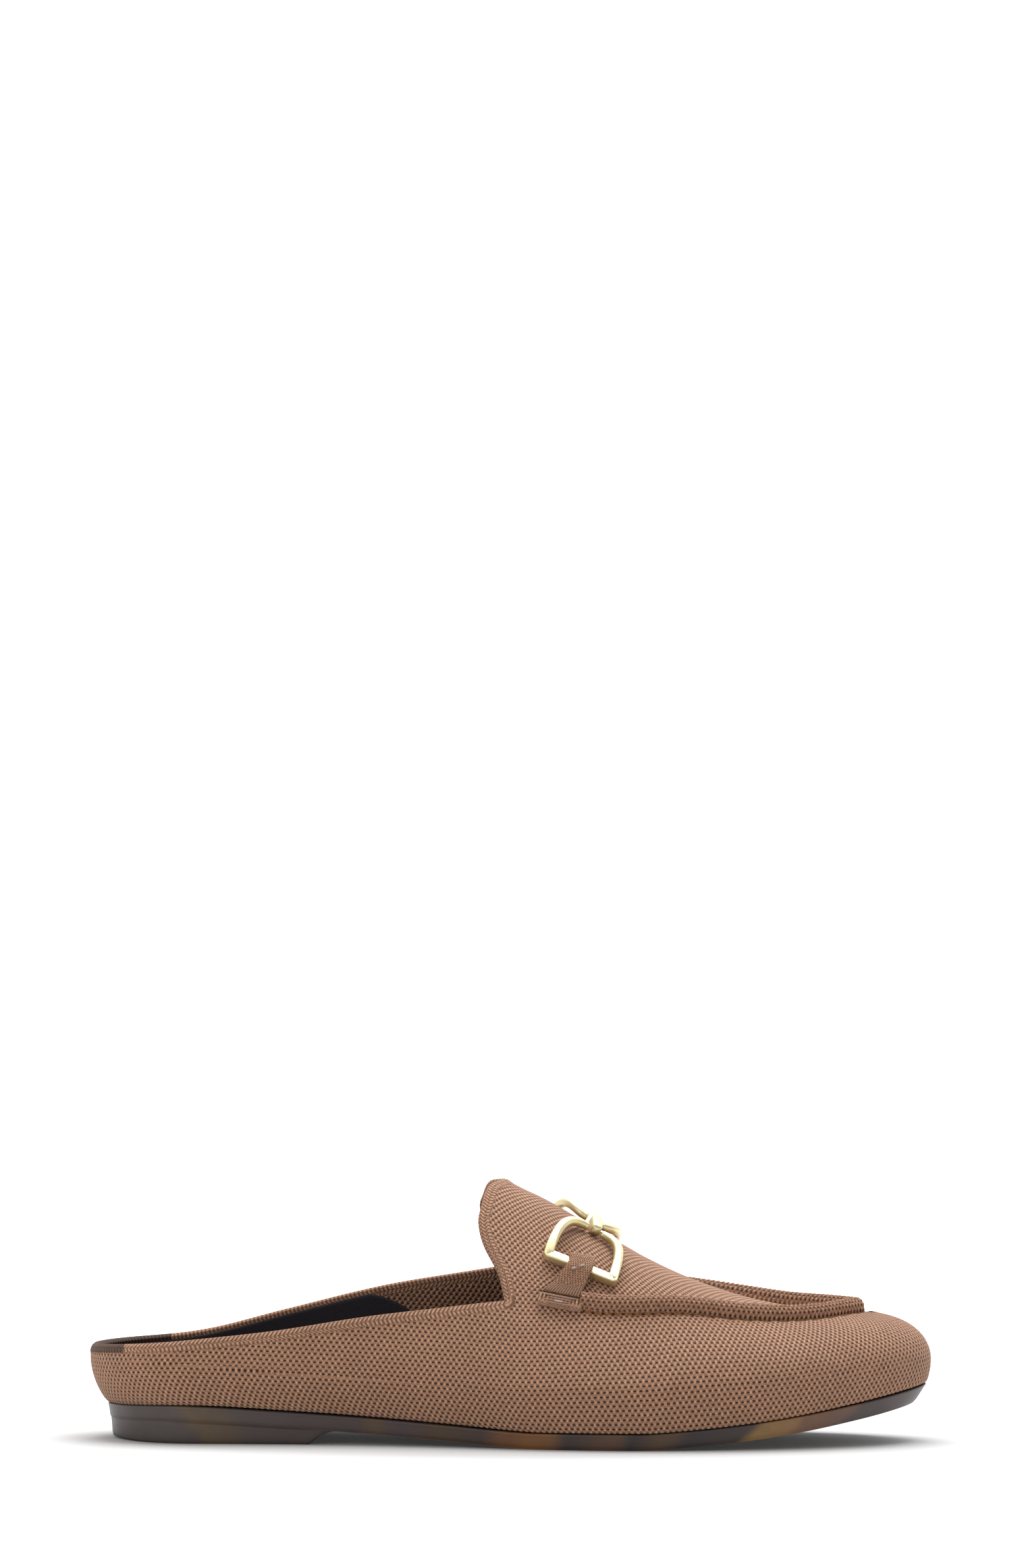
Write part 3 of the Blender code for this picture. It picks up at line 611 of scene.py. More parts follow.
edge_value = np.concatenate([rim_distance, rim_distance, np.zeros(ring * len(turns))])
edge_run = np.concatenate([rim_run[rim_place], rim_run[rim_place], np.tile(rim_run, len(turns))])
edge_corners = np.stack([edge_value[all_quads], edge_run[all_quads]], -1)
print("upper", len(all_quads) * 2, "triangles")

# %% [markdown]
# ## Knitted cloth as a material
#
# A knit could be modelled loop by loop, but a shoe has many thousands of them. Here the map
# of the cloth drives a pattern of raised stitches and small holes, which gives both the
# colour and the bump. In the colour the stitch tops are lighter, a painted highlight, and the
# holes are dark, a painted shade. Two cosines multiplied make the staggered rows: their
# product is 1 at each stitch, -1 at each hole. Along the collar the rows follow the edge
# instead, and their stitches lean. Yarn is matt, with a soft sheen of fibre.

# %% Knit pattern
def knit_pattern(tree, title, wide, high):
    """Height of the stitches, 0 to 1, and a mask of painted shade at each hole, from a map
    in millimetres.

    The height follows the product of a cosine along the row and one across it. A hole is
    drawn as a short dash along the row: the second cosine is raised to its fifth power,
    which makes it narrow, and the first is steepened, which makes it long.
    """
    u, v = uv_parts(tree, title)
    wave_u = calc(tree, "COSINE", calc(tree, "MULTIPLY", u, 2 * math.pi / wide))
    wave_v = calc(tree, "COSINE", calc(tree, "MULTIPLY", v, math.pi / high))
    product = calc(tree, "MULTIPLY", wave_u, wave_v)
    height = spread(tree, product, -0.9, 0.8, soft=True)
    narrow = calc(tree, "POWER", wave_v, 5.0)
    long = spread(tree, wave_u, -0.35, 0.35, -1.0)
    dash = calc(tree, "MULTIPLY", narrow, long)
    return height, spread(tree, dash, -0.15, -0.7, soft=True)


def cloth_colours(tree, shades, height, hole_shade, grain):
    """Yarn: painted highlight rising with the stitch height, mottled by noise, painted shade at
    each hole.
    """
    # dark is the painted shade in the holes, light the painted highlight on the stitch tops
    dark, yarn, light = (linear(shade) for shade in shades)
    body = mixed(tree, height, yarn, light)
    return mixed(tree, hole_shade, mixed(tree, grain, body, yarn), dark)


# Painted shade of the holes, the yarn, and the painted highlight of the stitch tops
YARN = ("#241109", "#885e45", "#c7997a")
YARN_SHEEN = linear("#e8cdb8")
print("stitches", STITCH_WIDE, "by", STITCH_HIGH, "mm")

# %% The upper's knit
# Polyester yarn, knitted: matt, a little fuzzy, with small holes between its stitches; the
# holes are painted dark as shade, and the stitch tops are painted lighter as highlight.
RIM_ROW = 1.45                                # mm from row to row of the collar
RIM_FROM, RIM_TO, BOUND_TO = 3.1, 2.8, 2.75   # mm from the edge, where collar and binding end
HEEL_LINE, HEEL_SLANT = -0.1121, -0.206       # front end of the dark binding at the heel
SEAM_LINE, HALF_STEP = 3.3, 1.5               # mm: its drop, half the step of its holes

knit_cloth, tree, shader, place = new_material(
    "knitted_polyester_yarn", Roughness=0.86, Sheen_Weight=0.12, Sheen_Roughness=0.5,
    Sheen_Tint=YARN_SHEEN)
height, hole_shade = knit_pattern(tree, "knit", STITCH_WIDE, STITCH_HIGH)
edge, run = uv_parts(tree, "edge")
in_rim = spread(tree, edge, RIM_FROM, RIM_TO)
fold = calc(tree, "PINGPONG", edge, RIM_ROW)
slant = calc(tree, "MULTIPLY_ADD", fold, 0.55, run)
chain = calc(tree, "COSINE", calc(tree, "MULTIPLY", slant, 2 * math.pi / RIM_STITCH))
chain_high = spread(tree, chain, -1.0, 0.2, soft=True)
row = calc(tree, "COSINE", calc(tree, "MULTIPLY", edge, 2 * math.pi / RIM_ROW))
rim_high = calc(tree, "MULTIPLY", spread(tree, row, 1.0, 0.2, 0.45), chain_high)
height = add(tree, "ShaderNodeMix", {0: in_rim, 2: height, 3: rim_high})
# Between the collar's rows and stitches the yarn is darkened, a painted shade; the high stitches
# get the painted highlight.
rim_row_shade = spread(tree, rim_high, 0.16, 0.0, 0.0, 0.45)
hole_shade = add(tree, "ShaderNodeMix", {0: in_rim, 2: hole_shade, 3: rim_row_shade})
grain = spread(tree, noise(tree, place, 2600.0, 2.0), 0.40, 0.75)
worn = spread(tree, noise(tree, place, 60.0, 2.0), 0.35, 0.75, 0.96, 1.04)
# The stitch height lightens the yarn as a painted highlight, and the hole mask darkens it as a
# painted shade.
cloth = cloth_colours(tree, YARN, height, hole_shade, grain)
cloth = add(tree, "ShaderNodeVectorMath", {0: cloth, "Scale": worn}, operation="SCALE")

spot = add(tree, "ShaderNodeSeparateXYZ", [place]).node.outputs
heel_line = calc(tree, "MULTIPLY_ADD", spot[1], HEEL_SLANT, spot[0])
at_heel = calc(tree, "LESS_THAN", heel_line, HEEL_LINE)
bound = calc(tree, "MULTIPLY", at_heel, calc(tree, "LESS_THAN", edge, BOUND_TO))
# The binding is lighter on its stitch tops and darker between them, a painted highlight and a
# painted shade.
binding = mixed(tree, height, linear("#2b1810"), linear("#5c3d2b"))
cloth = mixed(tree, bound, cloth, binding)

along, across = uv_parts(tree, "seam")
forward = calc(tree, "GREATER_THAN", along, 0.0)
hole_step = calc(tree, "PINGPONG", along, HALF_STEP)
line_far = calc(tree, "ABSOLUTE", calc(tree, "ADD", across, SEAM_LINE))
needle = add(tree, "ShaderNodeVectorMath", [
    add(tree, "ShaderNodeCombineXYZ", [hole_step, line_far, 0.0])], "Value", operation="LENGTH")
needle_hole = spread(tree, needle, 0.62, 0.35, 0.0, forward)
thread_line = spread(tree, line_far, 0.8, 0.4, 0.0, forward)
cloth = mixed(tree, thread_line, cloth, linear("#96602f"))
# Each needle hole of the seam is painted near-black, a painted shade.
cloth = mixed(tree, needle_hole, cloth, linear("#24130c"))
deep = calc(tree, "SUBTRACT", height, needle_hole)
dress(tree, shader, cloth, calc(tree, "MULTIPLY_ADD", grain, 0.15, deep), 0.9, 0.0007)

upper = mesh_piece("knitted_upper", all_points, all_quads, knit_cloth,
                   {"knit": knit_corners, "seam": seam_corners, "edge": edge_corners})
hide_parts("upper")
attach(upper, "root")

# %% [markdown]
# ## The sole
#
# The sole is one piece of moulded rubber, drawn from its edge line inwards and downwards as
# a stack of rings. A thin band runs all round under the upper; below it, set back a little,
# stands the heel block, with a hollow curve at its front. The underside is flat at the heel
# and the ball and lifts at the toe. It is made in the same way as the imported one, but with
# many more rings, so that its round edges catch the light.

# %% Shape of the sole
HEEL_LENGTH, BREAST_LENGTH = 0.0625, 0.0085
HEEL_BEVEL, BEVEL_LENGTH = 0.0011, 0.016
SOLE_DRAFT, HEEL_STEP, EDGE_ROUND = 0.0015, 0.0007, 0.0006
TOE_UNDERCUT, UNDERCUT_AT = 0.0028, 0.90
SOLE_BACK = -SHOE_LENGTH / 2 + HEEL_TUCK


def sole_underside(x):
    """Height of the underside along the middle of the sole."""
    curve_way = np.clip((x - SOLE_BACK - HEEL_LENGTH) / BREAST_LENGTH, 0, 1)
    hollow = np.sin(curve_way * math.pi / 2)
    bevel = HEEL_BEVEL * np.clip((SOLE_BACK + BEVEL_LENGTH - x) / BEVEL_LENGTH, 0, 1) ** 2
    return (shank_height(share_of(x)) * hollow
            + np.where(x < SOLE_BACK + HEEL_LENGTH, bevel, 0))


def inside_outline(side, at, inset, way):
    """A point inside the sole's outline: moved in by inset, or by a share of the way."""
    edge_x, edge_y = outline(side, at, 0)
    spine = SHOE_LENGTH / 2 * SPINE_SHARE
    middle_x = np.clip(edge_x, -spine, spine)
    middle_y = BALL_WIDTH * last("axis", at)
    reach = np.hypot(edge_x - middle_x, edge_y - middle_y)
    keep = way * (1 - inset / reach)
    return (middle_x + (edge_x - middle_x) * keep,
            middle_y + (edge_y - middle_y) * keep + SIDE_SHIFT)


def both_sides(level, ats):
    """One ring: the outer side from heel to toe, then the inner side back to the heel."""
    return np.concatenate([level(LATERAL, ats), level(MEDIAL, ats[-2:0:-1])])


def sole_level(way, inset, drop, under):
    """A ring of the sole; drop is a share of the band, or of what stands below the band."""
    def level(side, at):
        edge_x = outline(side, at, 0)[0]
        block = smooth(0, 1, (HEEL_LENGTH + BREAST_LENGTH - edge_x - SHOE_LENGTH / 2)
                       / BREAST_LENGTH)
        back = smooth(0.06, 0.16, at)
        tip = np.clip((at - UNDERCUT_AT) / (1 - UNDERCUT_AT), 0, 1) ** 2
        cut = under * HEEL_STEP * block * back + max(drop, under) * TOE_UNDERCUT * tip
        x, y = inside_outline(side, at, inset + cut, way)
        top, bottom = feather_height(share_of(x)), sole_underside(x)
        band = np.minimum(SOLE_THICKNESS / (top - bottom), 1)
        share = band + (1 - band) * drop if under else band * drop
        return np.stack([x, y, top + (bottom - top) * share], -1)
    return level


def stack_rings(rings):
    """Points and faces of a closed solid from a list of equal rings, top ring first."""
    return np.concatenate(rings), ring_quads(len(rings), len(rings[0]))


stations = even(np.linspace(0, 1, 261))
breast_at = HEEL_LENGTH / (SHOE_LENGTH - HEEL_TUCK - TOE_TUCK)
stations = np.unique(np.concatenate([stations, breast_at + np.linspace(0, 0.031, 14)]))
turned = np.linspace(0, math.pi / 2, 5)
shape = [(way, 0, 0, 0) for way in (0.0, 0.35, 0.7, 0.9)]
shape += [(1, EDGE_ROUND * (1 - math.sin(t)), 0.125 * (1 - math.cos(t)), 0) for t in turned]
shape += [(1, SOLE_DRAFT * 0.55 * d, d, 0) for d in np.linspace(0.2, 0.84, 6)]
shape += [(1, SOLE_DRAFT * 0.6, 0.90, 0), (1, SOLE_DRAFT * 0.66, 0.97, 0),
          (1, SOLE_DRAFT * 0.7, 0.03, 1), (1, SOLE_DRAFT * 0.7, 0.09, 1)]
shape += [(1, SOLE_DRAFT * (0.7 + 0.3 * d), d, 1) for d in np.linspace(0.2, 0.86, 6)]
shape += [(1, SOLE_DRAFT + EDGE_ROUND * (1 - math.cos(t)), 0.86 + 0.14 * math.sin(t), 1)
          for t in turned[1:]]
shape += [(way, 0, 1, 1) for way in (0.94, 0.8, 0.6, 0.35, 0.0)]
sole_rings = [both_sides(sole_level(*row), stations) for row in shape]
sole_points, sole_quads = stack_rings(sole_rings)
print("sole rings", len(sole_rings), "of", len(sole_rings[0]), "points")

# %% [markdown]
# ## Moulded tortoiseshell rubber
#
# The sole is rubber with cloudy patches of amber and olive in a dark brown mass, like
# tortoiseshell. A colour ramp read along the shoe places the patches where they are, and
# noise bends and softens their borders. The gloss is satin and changes a little with the
# clouds, and a very low bump gives the fine marks that a mould leaves.

# %% Sole material
PATCH_HALF = 0.135      # the ramp covers this length behind and before the shoe's middle

rubber, tree, shader, place = new_material("moulded_tortoiseshell_rubber", IOR=1.46)
bend = noise(tree, place, 55.0, 2.0)
xyz = add(tree, "ShaderNodeSeparateXYZ", [place]).node.outputs
slope = calc(tree, "MULTIPLY_ADD", xyz[0], -10.5, -0.21)
lean = calc(tree, "MULTIPLY_ADD", xyz[2], slope, xyz[0])
over = calc(tree, "MULTIPLY_ADD", xyz[1], 0.35, lean)
wander = calc(tree, "MULTIPLY_ADD", bend, 0.012, over)
ramp = add(tree, "ShaderNodeValToRGB", [spread(tree, wander, -PATCH_HALF, PATCH_HALF)]).node
ramp.color_ramp.interpolation = "EASE"
PATCHES = (
    # mm along the shoe, colour
    (-125, "#4d4240"), (-97, "#4d4341"), (-91, "#5e4c38"), (-84, "#5a4a3a"), (-77, "#4b403d"),
    (-50, "#453a38"), (-44, "#54402f"), (-38, "#46393a"), (-27, "#4e3a2b"), (-18, "#41352f"),
    (-10, "#6b4526"), (1, "#7c5228"), (8, "#3c3230"), (20, "#5c4230"), (26, "#382f2e"),
    (36, "#57422f"), (42, "#393130"), (56, "#3f3531"), (60, "#8a6a3c"), (68, "#86653e"),
    (73, "#7c583e"), (83, "#6e5040"), (88, "#4a403f"), (112, "#4c4241"), (117, "#b08f5a"),
    (127, "#6a5a50"),
)
stops = ramp.color_ramp.elements
for number, (x_mm, shade) in enumerate(PATCHES):
    position = (x_mm / 1000 + PATCH_HALF) / (2 * PATCH_HALF)
    stop = stops[number] if number < 2 else stops.new(position)
    stop.position = position
    stop.color = linear(shade)
cloud = noise(tree, place, 120.0)
clouded = spread(tree, cloud, 0.45, 0.8, 0.0, 0.45)
rubber_colour = mixed(tree, clouded, ramp.outputs[0], linear("#3f3634"))
tree.links.new(spread(tree, cloud, 0.0, 1.0, 0.36, 0.5), shader.inputs["Roughness"])
dress(tree, shader, rubber_colour, noise(tree, place, 2500.0, 2.0), 0.15, 0.0001)

sole = welded_piece("moulded_sole", sole_points, sole_quads, rubber, "outsole")
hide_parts("outsole")
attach(sole, "root")

# %% [markdown]
# ## Footbed and heel lining
#
# Inside the shoe everything is near-black navy microfibre. The footbed is a foam pad a
# little fuller in its middle, and the lining covers the inside of the heel from the footbed
# to just below the knitted rim. It ends in a rounded front edge. Both are thin and lie on
# the surfaces worked out above, so they need no fitting.

# %% Footbed
microfibre, tree, shader, place = new_material(
    "brushed_navy_microfibre", Roughness=0.95, Sheen_Weight=0.35, Sheen_Roughness=0.4,
    Sheen_Tint=linear("#5a5666"))
nap = noise(tree, place, 1800.0)
lint = spread(tree, noise(tree, place, 700.0, 1.0), 0.74, 0.80, 0.0, 0.35)
brushed = mixed(tree, nap, linear("#1b1719"), linear("#2f2b31"))
brushed = mixed(tree, lint, brushed, linear("#8d8790"))
dress(tree, shader, brushed, nap, 0.5, 0.0002)

INSOLE_THICKNESS = 0.0035
INSOLE_ROUND, INSOLE_CROWN = 0.0012, 0.0004


def insole_level(way, inset, lift):
    """A ring of the footbed: its height is the sole's edge height plus lift."""
    def level(side, at):
        x, y = inside_outline(side, at, inset, way)
        return np.stack([x, y, feather_height(share_of(x)) + GAP + lift], -1)
    return level


inset = 1.2 * WALL + GAP
insole_shape = [(way, 0, INSOLE_THICKNESS + INSOLE_CROWN * (1 - way))
                for way in (0, 0.4, 0.75, 0.92)]
insole_shape += [(1, inset + INSOLE_ROUND * (1 - math.sin(t)), INSOLE_THICKNESS
                  - INSOLE_ROUND * (1 - math.cos(t))) for t in np.linspace(0, math.pi / 2, 6)]
insole_shape += [(1, inset, 0), (0.5, 0, 0), (0, 0, 0)]
insole_rings = [both_sides(insole_level(*row), even(np.linspace(0, 1, 161)))
                for row in insole_shape]
footbed = welded_piece("footbed", *stack_rings(insole_rings), microfibre, "insole")
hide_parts("insole")
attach(footbed, "root")

# %% Heel lining
LINING_THICK, LINING_OFF = 0.0005, 0.0001
LINING_DROP = 0.0010


def wall_inside(side, at, climb, depth):
    """Point on the inner side of the wall: the outside, moved in along its normal."""
    step = 0.0015
    along = surface(side, at + step, climb) - surface(side, at - step, climb)
    rise = surface(side, at, climb + step) - surface(side, at, climb - step)
    return surface(side, at, climb) + unit(np.cross(along, rise)) * side * depth


def lining_sheet(depth):
    """Both sides as one band round the heel: columns along the shoe, rows up the wall."""
    halves = []
    for side in (LATERAL, MEDIAL):
        up = np.linspace(0, 1, 30)[None, :]
        at = np.linspace(0.004, 1, 90)[:, None] ** 1.4 * (0.405 - 0.082 * up ** 4)
        foot = feather_height(at) + GAP + INSOLE_THICKNESS - 0.001
        top = rim_height(side, at) - LINING_DROP
        sheet = wall_inside(side, at, climb_at(side, at, foot + (top - foot) * up), depth)
        halves.append(sheet if side == MEDIAL else sheet[::-1])
    return np.concatenate(halves)


front = lining_sheet(WALL + LINING_OFF + LINING_THICK)
behind = lining_sheet(WALL + LINING_OFF)
columns, rows = front.shape[:2]
lining_points = np.concatenate([front.reshape(-1, 3), behind.reshape(-1, 3)])
quads_front = grid_quads(columns, rows)
quads_behind = grid_quads(columns, rows, columns * rows, True)
numbers = np.arange(columns * rows).reshape(columns, rows)
border = np.concatenate([numbers[:, 0], numbers[-1, 1:], numbers[-2::-1, -1],
                         numbers[0, -2:0:-1]])
after = np.roll(border, -1)
rim_quads = np.stack([border, border + columns * rows, after + columns * rows, after], 1)
lining = mesh_piece("heel_lining", lining_points,
                    np.concatenate([quads_front, quads_behind, rim_quads]), microfibre)
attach(lining, "root")

# %% [markdown]
# ## The raised seam
#
# Round the vamp runs a raised seam, where the plug on top meets the wall: a knitted tube
# with staggered rows of small stitches. Its path is the seam line on the last. A section is
# carried along that path, and the stitches are real relief, a quarter of a millimetre high.

# %% Carry a section along a path
def vamp_point(x, way):
    """Point of the vamp at a place along the shoe: way is below 0 on the outer side."""
    x, way = np.broadcast_arrays(np.asarray(x, float), np.asarray(way, float))
    at = share_of(x / (SPINE_SHARE + (1 - SPINE_SHARE) * np.abs(way)))
    return np.where((way < 0)[..., None], surface(LATERAL, at, 2 - np.abs(way)),
                    surface(MEDIAL, at, 2 - np.abs(way)))


def vamp_up(x, way):
    """Outward direction of the vamp."""
    step = 0.002
    forward = vamp_point(x + step / 4, way) - vamp_point(x - step / 4, way)
    return unit(np.cross(forward, vamp_point(x, way + step) - vamp_point(x, way - step)))


def across_path(path, up):
    """Directions across a path, a little longer at its corners so that they are mitred."""
    steps = unit(np.diff(path, axis=0))
    before = np.concatenate([steps[:1], steps])
    after = np.concatenate([steps, steps[-1:]])
    across = unit(np.cross(unit(before + after), up))
    return across / np.clip(np.sum(unit(before + after) * after, axis=1), 0.5, 1)[:, None]


def carried(path, across, up, section):
    """Points and faces of a closed bar; section is one outline or one for each place."""
    section = np.broadcast_to(section, (len(path), *np.shape(section)[-2:]))
    rings = (path[:, None] + across[:, None] * section[:, :, :1]
             + up[:, None] * section[:, :, 1:])
    count = section.shape[1]
    ends = [rings[:1].mean(1, keepdims=True).repeat(count, 1),
            rings[-1:].mean(1, keepdims=True).repeat(count, 1)]
    rings = np.concatenate([ends[0], rings, ends[1]])
    return rings.reshape(-1, 3), ring_quads(len(rings), count)


def refine(path, step):
    """The same line with points at an even distance."""
    run = run_along(path) / 1000
    places = np.linspace(0, run[-1], max(int(run[-1] / step), 2) + 1)
    return np.stack([np.interp(places, run, path[:, i]) for i in range(path.shape[1])], 1)


print("tools for bars ready")

# %% Raised seam
APRON_WIDTH, APRON_HEIGHT = 0.0048, 0.0034
BIT_X, BIT_SHIFT, BIT_HALF, BIT_SKEW = 0.0246, 0.0080, 0.0290, 0.0044
BIT_TILT, BIT_LIFT = 0.06, 0.0015
KEEPER_LEAN, PAD_LENGTH, PAD_WIDTH, PAD_DROP = 0.0058, 0.0130, 0.0042, 0.0024
PAD_MIDDLE = BIT_X - BIT_SKEW - KEEPER_LEAN


def seam_place(side, x):
    """Share of the length and way of the raised seam where it passes a place."""
    at = share_of(x)
    for _ in range(12):
        way = last("apron_" + side_name(side), at)
        at = share_of(x / (SPINE_SHARE + (1 - SPINE_SHARE) * way))
    return at, way


start_x = PAD_MIDDLE + PAD_LENGTH / 2 - 0.0006
lines = []
for side in (LATERAL, MEDIAL):
    turns = np.linspace(float(turn_of(seam_place(side, start_x)[0])), 1, 500)
    at = even(turns if side == LATERAL else turns[-2::-1])
    way = last("apron_" + side_name(side), at)
    line = surface(side, at, seam_climb(side, at))
    lines.append(np.column_stack([line, vamp_up(line[:, 0], side * way),
                                  last("seam_" + side_name(side), at)]))
rope = np.concatenate(lines)
run = run_along(rope[:, :3])
ROPE_STEP, LOOP_WIDE, LOOP_ROWS = 0.26, 1.55, 7     # mm, mm, rows over the tube
LOOP_PUFF = 0.00024
rope = np.column_stack([np.interp(np.arange(0, run[-1], ROPE_STEP), run, rope[:, i])
                        for i in range(7)])
rope_path, rope_up, rope_tall = rope[:, :3], unit(rope[:, 3:6]), rope[:, 6]
arc = np.linspace(-0.16, math.pi + 0.16, 37)
along = np.arange(len(rope_path))[:, None] * ROPE_STEP
row = (arc[None, :] / math.pi) * LOOP_ROWS
puff = LOOP_PUFF * np.cos(2 * math.pi * along / LOOP_WIDE) * np.cos(math.pi * row)
half = APRON_WIDTH / 2 + puff
tall = APRON_HEIGHT * rope_tall[:, None] + puff
section = np.stack([half * np.cos(arc), np.sign(np.sin(arc)) * np.abs(np.sin(arc)) ** 0.8 * tall],
                   -1)
seam_points, seam_quads = carried(rope_path, across_path(rope_path, rope_up), rope_up, section)
ring_map = np.stack(np.broadcast_arrays(along, row * 1.2), -1)
ring_map = np.concatenate([ring_map[:1], ring_map, ring_map[-1:]]).reshape(-1, 2)
print("raised seam", round(run[-1], 1), "mm long")

# %% [markdown]
# ## Yarn of the trims
#
# The seam, the keepers and their pads are knitted from the same yarn in smaller stitches, and
# look a little darker. The relief of the seam is in its mesh; its colour also gets the
# light tops and dark gaps of the stitches, as a painted highlight and a painted shade.

# %% Trim material
def trim_material(name, wide, high, shades, distance):
    """Knit in which the map named knit is measured in millimetres, with a fine fibre grain."""
    material, tree, shader, place = new_material(
        name, Roughness=0.88, Sheen_Weight=0.25, Sheen_Roughness=0.5, Sheen_Tint=YARN_SHEEN)
    height, hole_shade = knit_pattern(tree, "knit", wide, high)
    grain = spread(tree, noise(tree, place, 1500.0), 0.38, 0.72)
    # The stitch tops get a painted highlight and the holes a painted shade.
    cloth = cloth_colours(tree, shades, height, hole_shade, grain)
    dress(tree, shader, cloth, calc(tree, "ADD", height, grain), 0.7, distance)
    return material


# Each trio: painted shade of the gaps, the yarn, painted highlight of the stitch tops.
rope_yarn = trim_material("knitted_yarn_tube", LOOP_WIDE, 1.2, ("#2a140b", "#7a523a", "#b6886a"),
                          0.0005)
tape_yarn = trim_material("knitted_yarn_tape", 1.1, 0.75, ("#3a1f12", "#825a41", "#b4896c"),
                          0.0004)

welt = welded_piece("raised_seam", seam_points, seam_quads, rope_yarn, "knit_trim", ring_map)
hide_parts("apron_seam")
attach(welt, "root")

# %% [markdown]
# ## The bit
#
# Two D-shaped rings meet at a short link on the crest. They are die-cast and plated in a
# pale satin gold. The bar under each keeper is square with narrow bevels; towards the link
# the metal grows round. All three pieces are bars carried along a path that lies on the
# vamp, so the bit bends over the instep as the real one does.

# %% Places on the vamp
VAMP_WAYS = np.linspace(-0.98, 0.98, 181)
SHELF_PLACES = 24


def girth_run(x):
    """Ways over the vamp at one place, and their distances from the crest along it."""
    run = run_along(vamp_point(np.full(len(VAMP_WAYS), x), VAMP_WAYS)) / 1000
    return VAMP_WAYS, run - np.interp(0, VAMP_WAYS, run)


def on_vamp(x, girth):
    """Points and outward directions at distances from the crest, towards the inner side."""
    x, girth = np.broadcast_arrays(np.asarray(x, float), np.asarray(girth, float))
    shelf = np.linspace(x.min() - 1e-4, x.max() + 1e-4, SHELF_PLACES)
    table = np.stack([girth_run(place)[1] for place in shelf])
    ways = VAMP_WAYS
    row = np.interp(x, shelf, np.arange(SHELF_PLACES))
    low = np.clip(row.astype(int), 0, SHELF_PLACES - 2)
    share = (row - low)[:, None]
    runs = table[low] * (1 - share) + table[low + 1] * share
    above = (runs < girth[:, None]).sum(1).clip(1, len(ways) - 1)
    one = np.arange(len(x))
    left, right = runs[one, above - 1], runs[one, above]
    way = ways[above - 1] + (ways[1] - ways[0]) * (girth - left) / (right - left)
    return vamp_point(x, way), vamp_up(x, way)


print("crest at the bit", np.round(on_vamp(np.array([BIT_X]), np.array([0.0]))[0] * 1000, 1))

# %% Plated metal
# Zinc casting with a pale champagne gold plating, brushed satin: broad soft highlights, and
# a slightly darker tone in the hollows of the fine grain.
gold, tree, shader, place = new_material("satin_gold_plating", Metallic=1.0)
polish = noise(tree, place, 1400.0)
plated = mixed(tree, polish, linear("#dccfa2"), linear("#e3d7ad"))
tree.links.new(spread(tree, polish, 0.0, 1.0, 0.42, 0.48), shader.inputs["Roughness"])
dress(tree, shader, plated, polish, 0.05, 0.00002)


def bar_outline(width, thick, corner, steps=4):
    """A rectangle with rounded corners standing on the path: four quarter circles."""
    turns = np.linspace(0, math.pi / 2, steps + 1)
    centres = [(width / 2 - corner, corner, -math.pi / 2), (width / 2 - corner, thick - corner, 0),
               (-width / 2 + corner, thick - corner, math.pi / 2),
               (-width / 2 + corner, corner, math.pi)]
    return np.concatenate([np.stack([x + corner * np.cos(start + turns),
                                     y + corner * np.sin(start + turns)], 1)
                           for x, y, start in centres])


# %% Rings and link
RING_WIDTH, RING_BAND, RING_THICK, RING_POWER = 0.0222, 0.0029, 0.0027, 2.4
LINK_LENGTH, LINK_WIDTH, LINK_THICK = 0.0145, 0.0034, 0.0038
LINK_GAP = 0.0006
ARM_LENGTH, BAR_STEP = 0.02, 0.0003    # rough length of an arm; step between sections
LINK_PLACES = 41


def ring_path(side):
    """Run of a ring on the flat cloth: a superellipse bow on a straight bar."""
    half = (RING_WIDTH - RING_BAND) / 2
    end = LINK_WIDTH / 2 + LINK_GAP
    first_angle = math.acos((end / half) ** (RING_POWER / 2))
    angles = first_angle * (1 - np.linspace(0, 1, 70) ** 1.4)
    arm = np.stack([half * np.cos(angles) ** (2 / RING_POWER),
                    np.sin(angles) ** (2 / RING_POWER)], 1)
    bar = np.stack([np.linspace(half, -half, 60)[1:-1], np.zeros(58)], 1)
    return np.concatenate([arm, bar, arm[::-1] * (-1, 1)])[::-1]


for side in (LATERAL, MEDIAL):
    u, v = refine(ring_path(side) * (1, ARM_LENGTH), BAR_STEP).T
    v = v / ARM_LENGTH
    near = LINK_LENGTH / 2 - RING_BAND / 2
    girth = side * (near + (BIT_HALF - near) * (1 - v) + BIT_TILT * u) - BIT_SHIFT
    path, up = on_vamp(BIT_X - BIT_SKEW * (1 - v) + u, girth)
    path = path + up * (BIT_LIFT * np.sin(math.pi * v))[:, None]
    squares = bar_outline(RING_BAND, RING_THICK, 0.00035)
    rounds = bar_outline(RING_BAND, RING_THICK, 0.00120)
    blend = smooth(0.05, 0.45, v)[:, None, None]
    from_end = np.abs(np.abs(u) - LINK_WIDTH / 2 - LINK_GAP)
    neck = 1 - 0.10 * smooth(0.0016, 0.0006, from_end) * (v > 0.5)
    section = squares * (1 - blend) + rounds * blend
    section = (section - (0, RING_THICK / 2)) * neck[:, None, None] + (0, RING_THICK / 2 + GAP)
    ring_points, ring_faces = carried(path, across_path(path, up), up, section)
    title = "ring_" + worn_side(side)
    bit_ring = welded_piece("gold_" + title, ring_points, ring_faces, gold, "metal")
    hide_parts(title)
    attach(bit_ring, "root")

